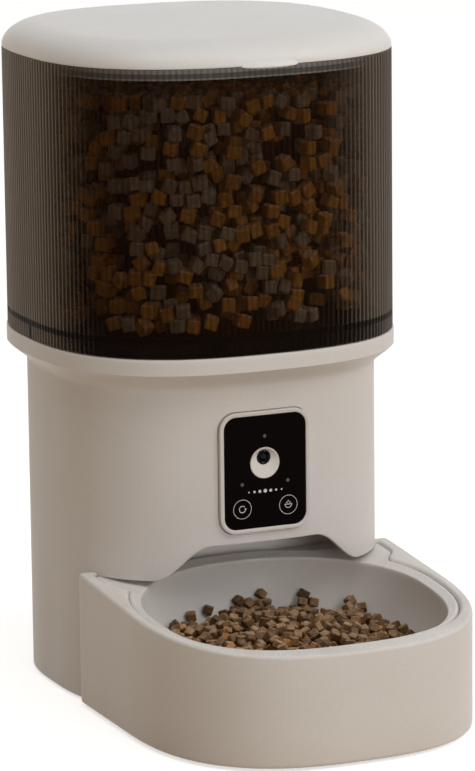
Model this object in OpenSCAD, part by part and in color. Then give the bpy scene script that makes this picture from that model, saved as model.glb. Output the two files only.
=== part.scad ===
// Automatic pet feeder with a camera: a smoky tank on a column, with a tray and a bowl in front.
// Millimetres. Z is up, the front faces -Y, and the origin is under the middle of the whole feeder.

/* [Tank] */
// Outside width of the tank
tank_w = 190; // [180:1:200]
// Outside depth of the tank
tank_d = 187.2; // [178:0.1:196]
// Height of the tank's wall, from the collar to the lid
tank_h = 145; // [120:1:170]
// Wall thickness of the tank
tank_wall = 2.5; // [2:0.1:3.5]
// Roundness of the tank's plan: 2 is an ellipse, more is squarer
tank_power = 2.6; // [2.4:0.1:2.8]
// Number of upright flutes around the tank
flutes = 270; // [180:10:300]
// Depth of a flute
flute_depth = 0.3; // [0.2:0.05:0.4]

/* [Funnel] */
// Height of the funnel's upper edge above the collar
funnel_rise = 10; // [8:0.5:14]
// Fall of the funnel's slope
funnel_fall = 25; // [22:0.5:28]
// Thickness of the funnel
funnel_wall = 2.4; // [1.8:0.1:3]
// Outside radius of the spout
spout_r = 52.4; // [48:0.2:54]
// Length of the spout
spout_l = 8; // [6:0.5:9]

/* [Lid] */
// Height of the lid's rounded edge
lid_edge_h = 13.2; // [10:0.2:16]
// Run of the rounded edge, from the rim inwards
lid_edge_run = 20.5; // [14:0.5:26]
// Rise of the middle of the lid above its rounded edge
lid_dome = 2; // [1:0.2:3]
// Wall thickness of the lid
lid_wall = 2.5; // [2:0.1:3]
// Depth of the skirt that drops into the tank
lid_skirt = 6; // [5:0.5:9]
// Width of the finger tab at the front of the lid
tab_w = 31; // [24:1:38]
// Drop of the finger tab below the lid's edge
tab_drop = 2.4; // [1.6:0.2:3.4]
// Reach of the finger tab in front of the lid
tab_reach = 2; // [1.4:0.2:3]

/* [Desiccant box] */
// Outside radius of the desiccant box
dry_r = 29; // [24:1:34]
// Height of the desiccant box
dry_h = 20; // [16:1:24]
// Wall of the desiccant box
dry_wall = 1.8; // [1.4:0.1:2.4]

/* [Column] */
// Height of the collar's top above the floor
column_h = 184.5; // [180:0.5:190]
// How far the column stands in from the tank at each side
inset_side = 10; // [8:0.5:12]
// How far the column stands in from the tank at the front and back
inset_front = 11.9; // [10:0.1:13]
// Wall thickness of the column
column_wall = 2.5; // [2:0.1:3]
// Roundness of the column's plan
column_power = 2.8; // [2.6:0.1:3]
// Height of the rubber feet
foot_h = 1.5; // [1.2:0.1:2.5]
// Radius of the rubber feet
foot_r = 6; // [5:0.5:7]

/* [Collar] */
// How far the collar stands out from the tank
collar_proud = 0.7; // [0.4:0.1:1.2]
// Height of the collar's upright band
collar_band = 4.5; // [3:0.5:6]
// Height of the flare between the column and the band
flare_h = 11.5; // [9:0.5:13]

/* [Arch] */
// Height of the column's front lower edge above the floor
lobe_z = 68.5; // [66:0.5:71]
// Rise of the arch above that edge
arch_rise = 17; // [14:0.5:18]
// Half width of the arch's level top
arch_flat = 29; // [26:0.5:32]
// Width of the curve at each side of the arch
arch_run = 29; // [24:0.5:32]

/* [Tray] */
// How far the tray's sides stand out from the column
tray_proud = 1.8; // [1:0.1:3]
// Distance of the tray's nose in front of the column's axis
tray_reach = 200.1; // [194:0.1:208]
// Distance of the tray's rear faces in front of the column's axis
tray_rear = 42.5; // [42:0.5:44]
// Distance of the end of the straight sides in front of the column's axis
tray_bend = 103.8; // [98:0.2:108]
// Roundness of the tray's nose
tray_power = 2.62; // [2.4:0.02:2.8]
// Height of the rim at the nose
rim_h = 57.4; // [55:0.2:58]
// Slope of the rim, in degrees
rim_slope = 4.57; // [4:0.01:4.8]
// Wall thickness of the tray
tray_wall = 2.5; // [2:0.1:3]
// How far the sides of the tongue, which goes under the column, stand in from it
tongue_inset = 11; // [10:0.5:13]
// Distance of the tongue's rear face in front of the column's axis
tongue_rear = 29.5; // [29:0.5:31]

/* [Bowl] */
// Distance of the bowl's opening from the tray's sides
bowl_side = 12.3; // [12:0.1:14]
// Distance of the bowl's opening from the tray's nose
bowl_front = 18.6; // [18:0.1:22]
// Distance of the opening's rear edge in front of the column's axis
bowl_back = 40.5; // [40:0.5:44]
// Depth of the bowl below its flange
bowl_depth = 36; // [30:0.5:40]
// Run of the bowl's rounded wall
bowl_round = 26; // [20:0.5:32]
// Wall thickness of the bowl
bowl_wall = 2.2; // [1.8:0.1:2.6]
// Width of the flange at the sides
flange_side = 7.5; // [6:0.1:7.8]
// Width of the flange at the front and back
flange_end = 8; // [6.5:0.1:8.4]
// Thickness of the flange
flange_t = 2; // [1.6:0.1:2.4]
// How far the flange lies below the tray's rim
flange_sink = 2.3; // [1.8:0.1:3]
// Distance of the finger ears from the tray's sides
ear_side = 6.2; // [5.2:0.1:6.8]
// Length of the finger ears, front to back
ear_len = 20; // [16:0.5:22]
// Distance of the ears' middle in front of the column's axis
ear_ahead = 57; // [56:0.5:60]

/* [Panel] */
// Width of the black panel
panel_w = 43.6; // [42:0.2:46]
// Height of the black panel
panel_h = 58; // [56:0.5:60]
// Height of the panel's middle above the floor
panel_z = 122.2; // [121:0.2:124]
// Corner radius of the panel
panel_round = 6.6; // [5:0.2:8]
// Thickness of the panel
panel_t = 2.2; // [1.8:0.1:2.6]
// Width of the bezel around the panel
bezel_rim = 2.2; // [1.6:0.1:3]
// How far the bezel stands in front of the column
bezel_proud = 1.4; // [1:0.1:2]
// How far the panel lies behind the bezel's face
panel_sink = 0.5; // [0.3:0.1:0.8]
// Width of the ledge behind the panel's edge
panel_ledge = 1.8; // [1.4:0.1:2]

/* [Camera] */
// Radius of the camera's round dish
camera_r = 8.2; // [7.6:0.1:8.8]
// Height of the camera above the panel's middle
camera_rise = 4.3; // [3:0.1:6]
// Radius of the lens
lens_r = 3.8; // [3.2:0.1:4.2]
// Height of the lens above the dish's middle
lens_rise = 2.6; // [2:0.1:3]
// Depth of the dish
dish_depth = 2.2; // [1.6:0.1:2.6]
// Radius of the lens barrel behind the dish
barrel_r = 6.4; // [5.8:0.1:7]
// Length of the lens barrel
barrel_l = 8; // [6:0.5:9]
// Width of the square camera board
camera_board = 24; // [20:0.5:26]

/* [Buttons] */
// Radius of the holes for the buttons
button_r = 5.4; // [5:0.1:5.8]
// Distance of each button from the middle
button_x = 12.7; // [12:0.1:13]
// Distance of the buttons below the panel's middle
button_fall = 18.6; // [17.5:0.1:19.5]
// Travel of a button
button_travel = 0.8; // [0.5:0.1:1]
// Width of the lip that keeps a button in
button_lip = 0.9; // [0.7:0.1:1]

/* [Lamps] */
// Radius of the small holes for the lamps and the light sensor
lamp_r = 1; // [0.8:0.1:1.2]
// Height of the upper hole above the panel's middle
lamp_rise = 18.2; // [17:0.2:20]
// Distance of the lower holes from the middle
lamp_x = 12.6; // [12:0.2:14]
// Distance of the lower holes below the panel's middle
lamp_fall = 5.9; // [5:0.1:7]

/* [Rotor] */
// Inside radius of the well that the rotor turns in
well_r = 53.6; // [53:0.2:56]
// Wall thickness of the well
well_wall = 2.4; // [2:0.1:3]
// Thickness of the well's floor
well_floor = 3; // [2.5:0.1:3.5]
// Number of vanes
vanes = 6; // [5:1:8]
// Height of the vanes
vane_h = 22; // [18:0.5:24]
// Thickness of a vane
vane_t = 2.4; // [2:0.1:3]
// Radius of the rotor's hub
hub_r = 12; // [10:0.5:14]
// Radius of the drive shaft
shaft_r = 4; // [3.5:0.1:4.5]
// Half angle of the outlet in the well's floor
outlet_half = 27; // [22:1:27]

/* [Gears] */
// Module of all gears
gear_module = 0.8; // [0.7:0.05:0.85]
// Teeth of each pinion
pinion_teeth = 18; // [17:1:20]
// Teeth of each wheel
wheel_teeth = 54; // [50:1:54]
// Face width of a gear
gear_w = 6; // [5:0.5:7]
// Backlash of a gear pair
backlash = 0.16; // [0.12:0.02:0.24]
// Direction of the motor from the idler, in degrees
motor_turn = 30; // [20:5:40]
// Wall thickness of the gearbox
gearbox_wall = 2; // [1.6:0.1:2.4]
// Radius of the idler's pin
pin_r = 2.5; // [2:0.1:3]

/* [Motor] */
// Radius of the motor
motor_r = 12; // [10:0.5:13]
// Length of the motor
motor_l = 30; // [26:1:34]
// Radius of the motor's shaft
motor_shaft_r = 1.2; // [1:0.1:1.5]

/* [Chute] */
// Wall thickness of the chute and its bulkhead
chute_wall = 2; // [1.6:0.1:2.4]
// Half width inside the chute
chute_half = 26; // [25:0.5:28]
// Distance of the chute's mouth behind the inside of the column's front
mouth_gap = 6.8; // [6:0.1:8]
// Length of the chute's mouth, front to back
mouth_l = 27; // [25:0.5:28]

/* [Power] */
// Diameter of a battery cell
cell_d = 34.2; // [32:0.1:35]
// Length of a battery cell
cell_l = 61.5; // [60:0.1:62]
// Number of cells side by side
cells = 3; // [2:1:3]
// Wall thickness of the bottom cover and its battery compartment
cover_wall = 2.2; // [1.8:0.1:2.6]
// Width of the power socket's opening
socket_w = 9; // [8.8:0.1:9.4]
// Height of the power socket's opening
socket_h = 3.3; // [3.1:0.1:3.6]
// Thickness of the circuit boards
board_t = 1.6; // [1:0.1:2]
// Radius of the speaker
speaker_r = 14; // [12:0.5:16]
// Radius of the screws' thread
screw_r = 1.5; // [1.2:0.1:1.8]

/* [Fits] */
// Gap around pieces that slide or lift out
slide_gap = 0.4; // [0.3:0.05:0.6]
// Gap around pieces that are fixed together
snug_gap = 0.1; // [0.08:0.01:0.15]
// Radial gap of a shaft in its bearing
run_gap = 0.05; // [0.03:0.01:0.08]
// Free air around turning and passing pieces
air_gap = 1; // [0.8:0.1:1.4]

/* [Hidden] */
$fn = 48;
steps = 72;

tank_a = tank_w / 2;
tank_b = tank_d / 2;
column_a = tank_a - inset_side;
column_b = tank_b - inset_front;
collar_a = tank_a + collar_proud;
collar_b = tank_b + collar_proud;
axis_y = (tray_reach - collar_b) / 2;
inner_a = column_a - column_wall;
inner_b = column_b - column_wall;
lid_z = column_h + tank_h;
tray_w = 2 * (column_a + tray_proud);
tongue_half = column_a - tongue_inset;
bowl_w = tray_w - 2 * bowl_side;
bowl_d = tray_reach - bowl_front - bowl_back;
bowl_ahead = bowl_back + bowl_d / 2;
ear_half = tray_w / 2 - ear_side;
flare_z = column_h - collar_band - flare_h;

funnel_z = column_h + funnel_rise;
spout_z = funnel_z - funnel_wall - funnel_fall;
spout_end = spout_z - spout_l;
rotor_top = spout_end - air_gap;
well_z = rotor_top - vane_h - air_gap;
well_under = well_z - well_floor;
well_rim = spout_z - 3.6;
flange_well = 2.4;
ledge_h = 3;
ledge_w = 4;
well_post = 3;

wheel_r = gear_module * wheel_teeth / 2;
pinion_r = gear_module * pinion_teeth / 2;
gear_reach = wheel_r + pinion_r;
gearbox_top = well_under - well_post;
upper_gear_z = gearbox_top - gearbox_wall - air_gap - gear_w;
lower_gear_z = upper_gear_z - air_gap - gear_w;
gearbox_floor = lower_gear_z - air_gap;
gearbox_z = gearbox_floor - gearbox_wall;
gear_room = wheel_r + gear_module + air_gap;
motor_x = gear_reach * cos(motor_turn);
motor_y = gear_reach * (1 + sin(motor_turn));
box_front = -gear_room - gearbox_wall;
box_back = gear_reach + gear_room + gearbox_wall;
box_left = -gear_room - gearbox_wall;
box_right = motor_x + pinion_r + gear_module + air_gap + gearbox_wall;
wheel_pitch = 360 / wheel_teeth;
pinion_pitch = 360 / pinion_teeth;
idler_turn = mesh_turn(90, 0);
pinion_turn = mesh_turn(motor_turn, idler_turn);

arch_top = lobe_z + arch_rise;
niche_roof = arch_top + 0.5;
chute_back = box_front - air_gap - chute_wall;
chute_front = -well_r + 0.4;
mouth_front = mouth_gap - inner_b;
mouth_back = mouth_front + mouth_l;
bulkhead_y = -tongue_rear + 1.5;
guide_w = 2.4;
guide_h = lobe_z - 8;
cut_y = -tray_rear + 1.5;

rim_mid = rim_h + tan(rim_slope) * (tray_reach - bowl_ahead);
shelf = flange_sink + flange_t + tray_wall;
tray_floor = foot_h + tray_wall;
flange_a = bowl_w / 2 + flange_side;
flange_b = bowl_d / 2 + flange_end;
bowl_power = 2.25;

bezel_y = -column_b - bezel_proud;
panel_y = bezel_y + panel_sink;
seat_y = panel_y + panel_t;
bezel_w = panel_w + 2 * snug_gap + 2 * bezel_rim;
bezel_h = panel_h + 2 * snug_gap + 2 * bezel_rim;
bezel_round = panel_round + bezel_rim;
window_w = panel_w - 2 * panel_ledge;
window_h = panel_h - 2 * panel_ledge;
camera_z = panel_z + camera_rise;
button_z = panel_z - button_fall;
cap_r = button_r - slide_gap / 2;
lip_y = seat_y + slide_gap;
lip_t = 1.2;
cap_end = lip_y + lip_t;
switch_y = cap_end + button_travel + 0.2;
switch_l = 3.5;
button_board_y = switch_y + switch_l;
dish_back = panel_y + dish_depth + 2;

cover_z = foot_h + cover_wall;
bay_w = cells * (cell_d + 0.5);
bay_l = cell_l + 4;
bay_h = cell_d + 1;
bay_y = bulkhead_y + chute_wall + 6 + bay_l / 2;
bay_top = cover_z + bay_h;
board_z = bay_top + cover_wall + 5;
lead_x = box_right + 6;
board_w = 2 * (lead_x + 7);
board_l = 66;
board_y = inner_b - 8 - board_l / 2;
socket_z = board_z + board_t + socket_h / 2 + 0.4;
speaker_z = board_z + 54;
speaker_l = 10;
plug_h = 7;
boss_r = 4;
boss_h = 18;
boss_side = [inner_a - 6, bay_y];
boss_back = [tank_a * 0.42, inner_b - 11];
bosses = [boss_side, [-boss_side[0], boss_side[1]], boss_back, [-boss_back[0], boss_back[1]]];
foot_x = bay_w / 2 + cover_wall + foot_r + 3.5;
feet = [[foot_x, bay_y + 30], [-foot_x, bay_y + 30], [foot_x, bay_y - 28], [-foot_x, bay_y - 28]];
tray_feet = [[tray_w / 2 - 20, -70], [20 - tray_w / 2, -70], [42, 28 - tray_reach], [-42, 28 - tray_reach]];

white = [0.80, 0.78, 0.75];
smoke = [0.20, 0.16, 0.13, 0.45];
black = [0.03, 0.03, 0.03];
grey = [0.35, 0.35, 0.35];
steel = [0.62, 0.63, 0.65];
green = [0.08, 0.30, 0.16];
amber = [0.85, 0.80, 0.62];

// A rounded outline of half width a and half depth b; power n = 2 gives an ellipse
function squircle(a, b, n) = [for (i = [0:steps - 1]) on_squircle(a, b, n, 360 * i / steps)];

function on_squircle(a, b, n, t) = polar(pow(pow(abs(cos(t)) / a, n) + pow(abs(sin(t)) / b, n), -1 / n), t);

function tank_plan(inset) = squircle(tank_a - inset, tank_b - inset, tank_power);

function fluted_plan() = [
    for (i = [0:2 * flutes - 1])
        let (inset = flute_depth * (i % 2))
        on_squircle(tank_a - inset, tank_b - inset, tank_power, 180 * i / flutes)
];

function column_plan(inset) = squircle(column_a - inset, column_b - inset, column_power);

function round_plan(r) = squircle(r, r, 2);

function flange_plan(grow) = squircle(flange_a + grow, flange_b + grow, bowl_power);

function at(plan, z) = [for (p = plan) [p[0], p[1], z]];

function scaled(plan, s) = [for (p = plan) s * p];

function mix(a, b, t) = a + (b - a) * t;

function ease(t) = (1 - cos(180 * t)) / 2;

// Corner points of a rounded rectangle
function rounded(w, h, r) = [
    for (q = [0:3], i = [0:6])
        let (t = 90 * q + 15 * i)
        let (sx = (q == 0 || q == 3) ? 1 : -1)
        let (sy = (q < 2) ? 1 : -1)
        [sx * (w / 2 - r) + r * cos(t), sy * (h / 2 - r) + r * sin(t)]
];

// The column widens into the collar along an eased curve
function flare_plan(t, inset) = squircle(
    mix(column_a, collar_a, ease(t)) - inset,
    mix(column_b, collar_b, ease(t)) - inset,
    mix(column_power, tank_power, ease(t))
);

// Outline of the tray: a rounded nose, straight sides, and the tongue behind its rear faces
function tray_plan(inset) =
    let (a = tray_w / 2 - inset)
    let (b = tray_reach - tray_bend - inset)
    let (tongue = tongue_half - inset)
    concat(
        [for (i = [0:36]) on_squircle(a, b, tray_power, -5 * i) - [0, tray_bend]],
        [[-a, -tray_rear - inset], [-tongue, -tray_rear - inset], [-tongue, -tongue_rear - inset]],
        [[tongue, -tongue_rear - inset], [tongue, -tray_rear - inset], [a, -tray_rear - inset]]
    );

// Front view of the arch: a level top that eases down at both sides
function arch_outline() = concat(
    [for (i = [0:8]) [-arch_flat - arch_run * (1 - i / 8), lobe_z + arch_rise * ease(i / 8)]],
    [for (i = [0:8]) [arch_flat + arch_run * i / 8, lobe_z + arch_rise * ease(1 - i / 8)]],
    [[arch_flat + arch_run, lobe_z - 5], [-arch_flat - arch_run, lobe_z - 5]]
);

// Half angle of a gear tooth at radius r, in degrees
function tooth_half(teeth, r) =
    let (pitch_r = gear_module * teeth / 2)
    let (base_r = pitch_r * cos(20))
    let (slope = acos(min(1, base_r / r)))
    let (roll = tan(20) * 180 / PI - 20 - tan(slope) * 180 / PI + slope)
    90 / teeth - backlash / 4 / pitch_r * 180 / PI + roll;

function gear_outline(teeth) =
    let (pitch_r = gear_module * teeth / 2)
    let (base_r = pitch_r * cos(20))
    let (root_r = pitch_r - 1.25 * gear_module)
    let (start_r = max(root_r, base_r))
    let (tip_r = pitch_r + 0.95 * gear_module)
    let (flank = [for (i = [0:3]) mix(start_r, tip_r, i / 3)])
    [
        for (k = [0:teeth - 1])
            let (c = 360 * k / teeth)
            each concat(
                [polar(root_r, c - tooth_half(teeth, start_r))],
                [for (r = flank) polar(r, c - tooth_half(teeth, r))],
                [for (i = [3:-1:0]) polar(flank[i], c + tooth_half(teeth, flank[i]))],
                [polar(root_r, c + tooth_half(teeth, start_r))]
            )
    ];

function polar(r, t) = [r * cos(t), r * sin(t)];

// Turn of a pinion that meshes with a wheel in the direction given, for the wheel's own turn
function mesh_turn(direction, turn) =
    let (part = (direction - turn) / wheel_pitch - floor((direction - turn) / wheel_pitch))
    direction + 180 - (0.5 - part) * pinion_pitch;

// A closed solid through a stack of outlines, from the lowest to the highest
module loft(rings) {
    k = len(rings[0]);
    m = len(rings);
    polyhedron(
        points = [for (r = rings) each r],
        faces = concat(
            [[for (i = [0:k - 1]) i]],
            [[for (i = [k - 1:-1:0]) (m - 1) * k + i]],
            [for (j = [0:m - 2], i = [0:k - 1]) [j * k + i, (j + 1) * k + i, (j + 1) * k + (i + 1) % k]],
            [for (j = [0:m - 2], i = [0:k - 1]) [j * k + i, (j + 1) * k + (i + 1) % k, j * k + (i + 1) % k]]
        )
    );
}

module prism(plan, z0, z1) {
    translate([0, 0, z0])
        linear_extrude(height = z1 - z0)
            polygon(plan);
}

module tube(outer, inner, z0, z1) {
    difference() {
        prism(outer, z0, z1);
        prism(inner, z0 - 1, z1 + 1);
    }
}

module rod(r, z0, z1) {
    translate([0, 0, z0])
        cylinder(r = r, h = z1 - z0);
}

module block(x0, x1, y0, y1, z0, z1) {
    translate([x0, y0, z0])
        cube([x1 - x0, y1 - y0, z1 - z0]);
}

// Puts children on the column's axis
module on_axis() {
    translate([0, axis_y, 0])
        children();
}

// Puts children on the panel: X across, Y up, Z towards the front from the depth given
module on_panel(y, z) {
    translate([0, axis_y + y, z])
        rotate([90, 0, 0])
            children();
}

// Puts children on the sloping rim of the tray, above the bowl's middle
module on_rim() {
    translate([0, axis_y - bowl_ahead, rim_mid])
        rotate([rim_slope, 0, 0])
            children();
}

// The bowl's flange with its two finger ears
module flange(grow, height) {
    linear_extrude(height = height)
        polygon(flange_plan(grow));
    translate([0, (bowl_ahead - ear_ahead) / cos(rim_slope), 0])
        linear_extrude(height = height)
            polygon(rounded(2 * (ear_half + grow), ear_len + 2 * grow, 4 + grow));
}

module hopper_tank() {
    color(smoke)
        on_axis()
            tube(fluted_plan(), tank_plan(tank_wall), column_h + snug_gap, lid_z);
}

module hopper_funnel() {
    edge = tank_wall + snug_gap;
    inside_r = spout_r - funnel_wall;
    color(black)
        on_axis() {
            difference() {
                loft([
                    at(round_plan(spout_r), spout_end),
                    at(round_plan(spout_r), spout_z),
                    at(tank_plan(edge), funnel_z - funnel_wall),
                    at(tank_plan(edge), funnel_z)
                ]);
                loft([
                    at(round_plan(inside_r), spout_end - 1),
                    at(round_plan(inside_r), spout_z + funnel_wall),
                    at(tank_plan(edge + funnel_wall), funnel_z - 0.6),
                    at(tank_plan(edge + funnel_wall), funnel_z + 1)
                ]);
            }
            tube(tank_plan(edge + 0.2), tank_plan(edge + 1.8), column_h + snug_gap, funnel_z - 1.2);
        }
}

module lid() {
    top = lid_edge_h + lid_dome;
    skirt = tank_wall + slide_gap;
    color(white)
        on_axis() {
            difference() {
                loft(concat(
                    [for (i = [0:6])
                        at(
                            tank_plan(lid_edge_run * (1 - cos(15 * i))),
                            lid_z + snug_gap + lid_edge_h * sin(15 * i)
                        )],
                    [for (s = [0.7, 0.4])
                        at(scaled(tank_plan(lid_edge_run), s), lid_z + lid_edge_h + lid_dome * (1 - s * s))]
                ));
                loft(concat(
                    [at(tank_plan(lid_wall), lid_z - 1)],
                    [for (i = [0:5])
                        at(
                            tank_plan(lid_wall + lid_edge_run * (1 - cos(18 * i))),
                            lid_z + snug_gap + (lid_edge_h - lid_wall) * sin(18 * i)
                        )]
                ));
            }
            tube(tank_plan(1), tank_plan(skirt + 2), lid_z + snug_gap, lid_z + 2.2);
            tube(tank_plan(skirt), tank_plan(skirt + 2), lid_z - lid_skirt, lid_z + 1);
            difference() {
                rod(dry_r + 2, lid_z - 3, lid_z + lid_edge_h - 1);
                rod(dry_r + snug_gap, lid_z - 4, lid_z + lid_edge_h - lid_wall);
            }
            finger_tab();
        }
}

module finger_tab() {
    sweep = (tab_w * tab_w / 4 + tab_drop * tab_drop) / (2 * tab_drop);
    front = tank_b + tab_reach;
    intersection() {
        translate([0, 0, lid_z - tab_drop + sweep])
            rotate([90, 0, 0])
                cylinder(r = sweep, h = 2 * tank_b, $fn = 120);
        union() {
            block(-tab_w / 2, tab_w / 2, -front, -tank_b - slide_gap, lid_z - tab_drop - 1, lid_z + 2.2);
            block(-tab_w / 2, tab_w / 2, -front, -tank_b + lid_wall, lid_z + snug_gap, lid_z + 2.2);
        }
    }
}

module lid_seal() {
    low = lid_z - lid_skirt + 1;
    color(grey)
        on_axis()
            tube(tank_plan(tank_wall + slide_gap / 2), tank_plan(tank_wall + slide_gap), low, low + 2.4);
}

module desiccant_box() {
    top = lid_z + lid_edge_h - lid_wall;
    color(white)
        on_axis()
            difference() {
                rod(dry_r, top - dry_h, top);
                rod(dry_r - dry_wall, top - dry_h - 1, top - dry_wall);
            }
}

module desiccant_cap() {
    low = lid_z + lid_edge_h - lid_wall - dry_h;
    inside = dry_r - dry_wall - slide_gap;
    color(grey)
        on_axis()
            difference() {
                union() {
                    rod(dry_r, low - slide_gap - 2, low - slide_gap);
                    rod(inside, low - slide_gap - 1, low + 5);
                }
                rod(inside - 1.6, low - slide_gap - 0.2, low + 6);
                for (i = [-2:2])
                    block(-15 + 2 * abs(i), 15 - 2 * abs(i), 6 * i - 0.9, 6 * i + 0.9, low - 5, low + 1);
                block(-2, 2, -dry_r - 1, -dry_r + 3, low - 5, low - slide_gap - 1.2);
            }
}

module housing() {
    color(white)
        on_axis()
            difference() {
                union() {
                    difference() {
                        union() {
                            prism(column_plan(0), foot_h, flare_z + 3);
                            loft(concat(
                                [at(flare_plan(0, 0.3), flare_z - 2)],
                                [for (i = [0:6]) at(flare_plan(i / 6, 0), flare_z + flare_h * i / 6)],
                                [at(flare_plan(1, 0), column_h)]
                            ));
                        }
                        prism(column_plan(column_wall), foot_h - 1, flare_z + 2);
                        loft(concat(
                            [at(flare_plan(0, column_wall + 0.3), flare_z - 4)],
                            [for (i = [0:6])
                                at(flare_plan(i / 6, column_wall), flare_z - 1.5 + flare_h * i / 6)],
                            [at(flare_plan(1, column_wall), column_h - column_wall)]
                        ));
                        prism(tank_plan(7.5), column_h - 8, column_h + 1);
                    }
                    tube(column_plan(1), column_plan(column_wall + ledge_w), well_rim - ledge_h, well_rim);
                    for (p = bosses)
                        translate([p[0], p[1], 0])
                            rod(boss_r, cover_z, cover_z + boss_h);
                    for (s = [0, 1])
                        mirror([s, 0, 0])
                            block(
                                boss_side[0], column_a - 1, boss_side[1] - 1.2, boss_side[1] + 1.2,
                                cover_z, cover_z + boss_h
                            );
                    for (s = [-1, 1])
                        translate([s * boss_back[0], 0, 0])
                            block(-1.2, 1.2, boss_back[1], inner_b - 1.5, cover_z, cover_z + boss_h);
                }
                block(-tank_w, tank_w, -tank_d, cut_y, -1, lobe_z);
                translate([0, cut_y, 0])
                    rotate([90, 0, 0])
                        linear_extrude(height = tank_d)
                            polygon(arch_outline());
                translate([0, seat_y, panel_z])
                    rotate([90, 0, 0])
                        linear_extrude(height = 20)
                            polygon(rounded(bezel_w + 2 * snug_gap, bezel_h + 2 * snug_gap, bezel_round));
                translate([0, seat_y + 9, panel_z])
                    rotate([90, 0, 0])
                        linear_extrude(height = 20)
                            polygon(rounded(window_w, window_h, panel_round - panel_ledge));
                translate([0, inner_b - 5, socket_z])
                    rotate([-90, 0, 0])
                        linear_extrude(height = 20)
                            polygon(rounded(socket_w + 1.2, socket_h + 1.2, 2));
                for (i = [-2:2])
                    block(
                        4.4 * i - 0.8, 4.4 * i + 0.8, inner_b - 5, column_b + 5,
                        speaker_z - 10 + 1.5 * abs(i), speaker_z + 10 - 1.5 * abs(i)
                    );
                for (p = bosses)
                    translate([p[0], p[1], 0])
                        rod(screw_r + snug_gap, cover_z - 1, cover_z + 13);
            }
}

module rotor_well() {
    color(grey)
        on_axis()
            difference() {
                union() {
                    rod(well_r + well_wall, well_under, well_rim + flange_well);
                    prism(column_plan(column_wall + snug_gap), well_rim, well_rim + flange_well);
                }
                rod(well_r, well_z, well_rim + flange_well + 1);
                rod(shaft_r + run_gap, well_under - 1, well_z + 1);
                outlet(well_under - 1, well_z + 1);
            }
}

// The sector that kibble drops through, in front of the gearbox
module outlet(z0, z1) {
    near = -chute_back;
    far = well_r - air_gap;
    translate([0, 0, z0])
        linear_extrude(height = z1 - z0)
            polygon(concat(
                [for (i = [-4:4]) polar(far, -90 + outlet_half * i / 4)],
                [[near * tan(outlet_half), -near], [-near * tan(outlet_half), -near]]
            ));
}

module rotor_hub() {
    color(grey)
        on_axis()
            difference() {
                union() {
                    rod(hub_r, well_z + air_gap, rotor_top);
                    rod(hub_r + 6, well_z + air_gap, well_z + air_gap + 1.6);
                    translate([0, 0, rotor_top])
                        cylinder(r1 = hub_r, r2 = 5, h = 6);
                }
                translate([0, 0, well_z])
                    cylinder(r = shaft_r + snug_gap, h = vane_h - 2, $fn = 6);
                vane_slots(vane_t + 2 * snug_gap);
            }
}

// Slots in the hub that hold the vanes, half way between the outlet's sides
module vane_slots(width) {
    for (i = [0:vanes - 1])
        rotate([0, 0, 360 * (i + 0.5) / vanes - 90])
            block(hub_r - 4, hub_r + 8, -width / 2, width / 2, well_z + air_gap + 1.6, rotor_top - 2);
}

module rotor_vanes() {
    color(amber)
        on_axis()
            for (i = [0:vanes - 1])
                rotate([0, 0, 360 * (i + 0.5) / vanes - 90])
                    block(
                        hub_r - 4 + snug_gap, well_r - air_gap, -vane_t / 2, vane_t / 2,
                        well_z + air_gap + 1.6 + snug_gap, rotor_top - 2 - snug_gap
                    );
}

module drive_shaft() {
    color(steel)
        on_axis() {
            rod(shaft_r, gearbox_z + 0.6, well_z + air_gap);
            translate([0, 0, well_z + air_gap])
                cylinder(r = shaft_r, h = vane_h - 4, $fn = 6);
        }
}

module gear(teeth, z0, z1) {
    prism(gear_outline(teeth), z0, z1);
}

module output_gear() {
    color(amber)
        on_axis()
            difference() {
                union() {
                    gear(wheel_teeth, lower_gear_z, lower_gear_z + gear_w);
                    rod(shaft_r + 4, lower_gear_z - air_gap / 2, upper_gear_z - air_gap / 2);
                }
                rod(shaft_r + snug_gap, lower_gear_z - 2, upper_gear_z);
                for (i = [0:5])
                    rotate([0, 0, 60 * i])
                        translate([wheel_r * 0.62, 0, 0])
                            rod(3.4, lower_gear_z - 1, lower_gear_z + gear_w + 1);
            }
}

module idler_gear() {
    color(amber)
        translate([0, axis_y + gear_reach, 0])
            rotate([0, 0, idler_turn])
                difference() {
                    union() {
                        gear(pinion_teeth, lower_gear_z - air_gap / 2, upper_gear_z);
                        gear(wheel_teeth, upper_gear_z, upper_gear_z + gear_w);
                    }
                    rod(pin_r + run_gap, lower_gear_z - 2, upper_gear_z + gear_w + 1);
                }
}

module idler_pin() {
    color(steel)
        translate([0, axis_y + gear_reach, 0])
            rod(pin_r, gearbox_z + 0.4, gearbox_top - 0.4);
}

module motor_pinion() {
    color(steel)
        translate([motor_x, axis_y + motor_y, 0]) {
            rotate([0, 0, pinion_turn])
                gear(pinion_teeth, upper_gear_z - 0.5, upper_gear_z + gear_w + 0.5);
            rod(motor_shaft_r, gearbox_z - 9, upper_gear_z);
        }
}

module gearbox_case() {
    color(grey)
        on_axis()
            difference() {
                block(box_left, box_right, box_front, box_back, gearbox_z, gearbox_top - gearbox_wall);
                block(
                    box_left + gearbox_wall, box_right - gearbox_wall,
                    box_front + gearbox_wall, box_back - gearbox_wall,
                    gearbox_floor, gearbox_top
                );
                rod(shaft_r + run_gap, gearbox_z + 0.5, gearbox_top);
                translate([0, gear_reach, 0])
                    rod(pin_r + snug_gap, gearbox_z + 0.3, gearbox_top);
                translate([motor_x, motor_y, 0])
                    rod(motor_shaft_r + 0.6, gearbox_z - 1, gearbox_top);
            }
}

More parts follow.
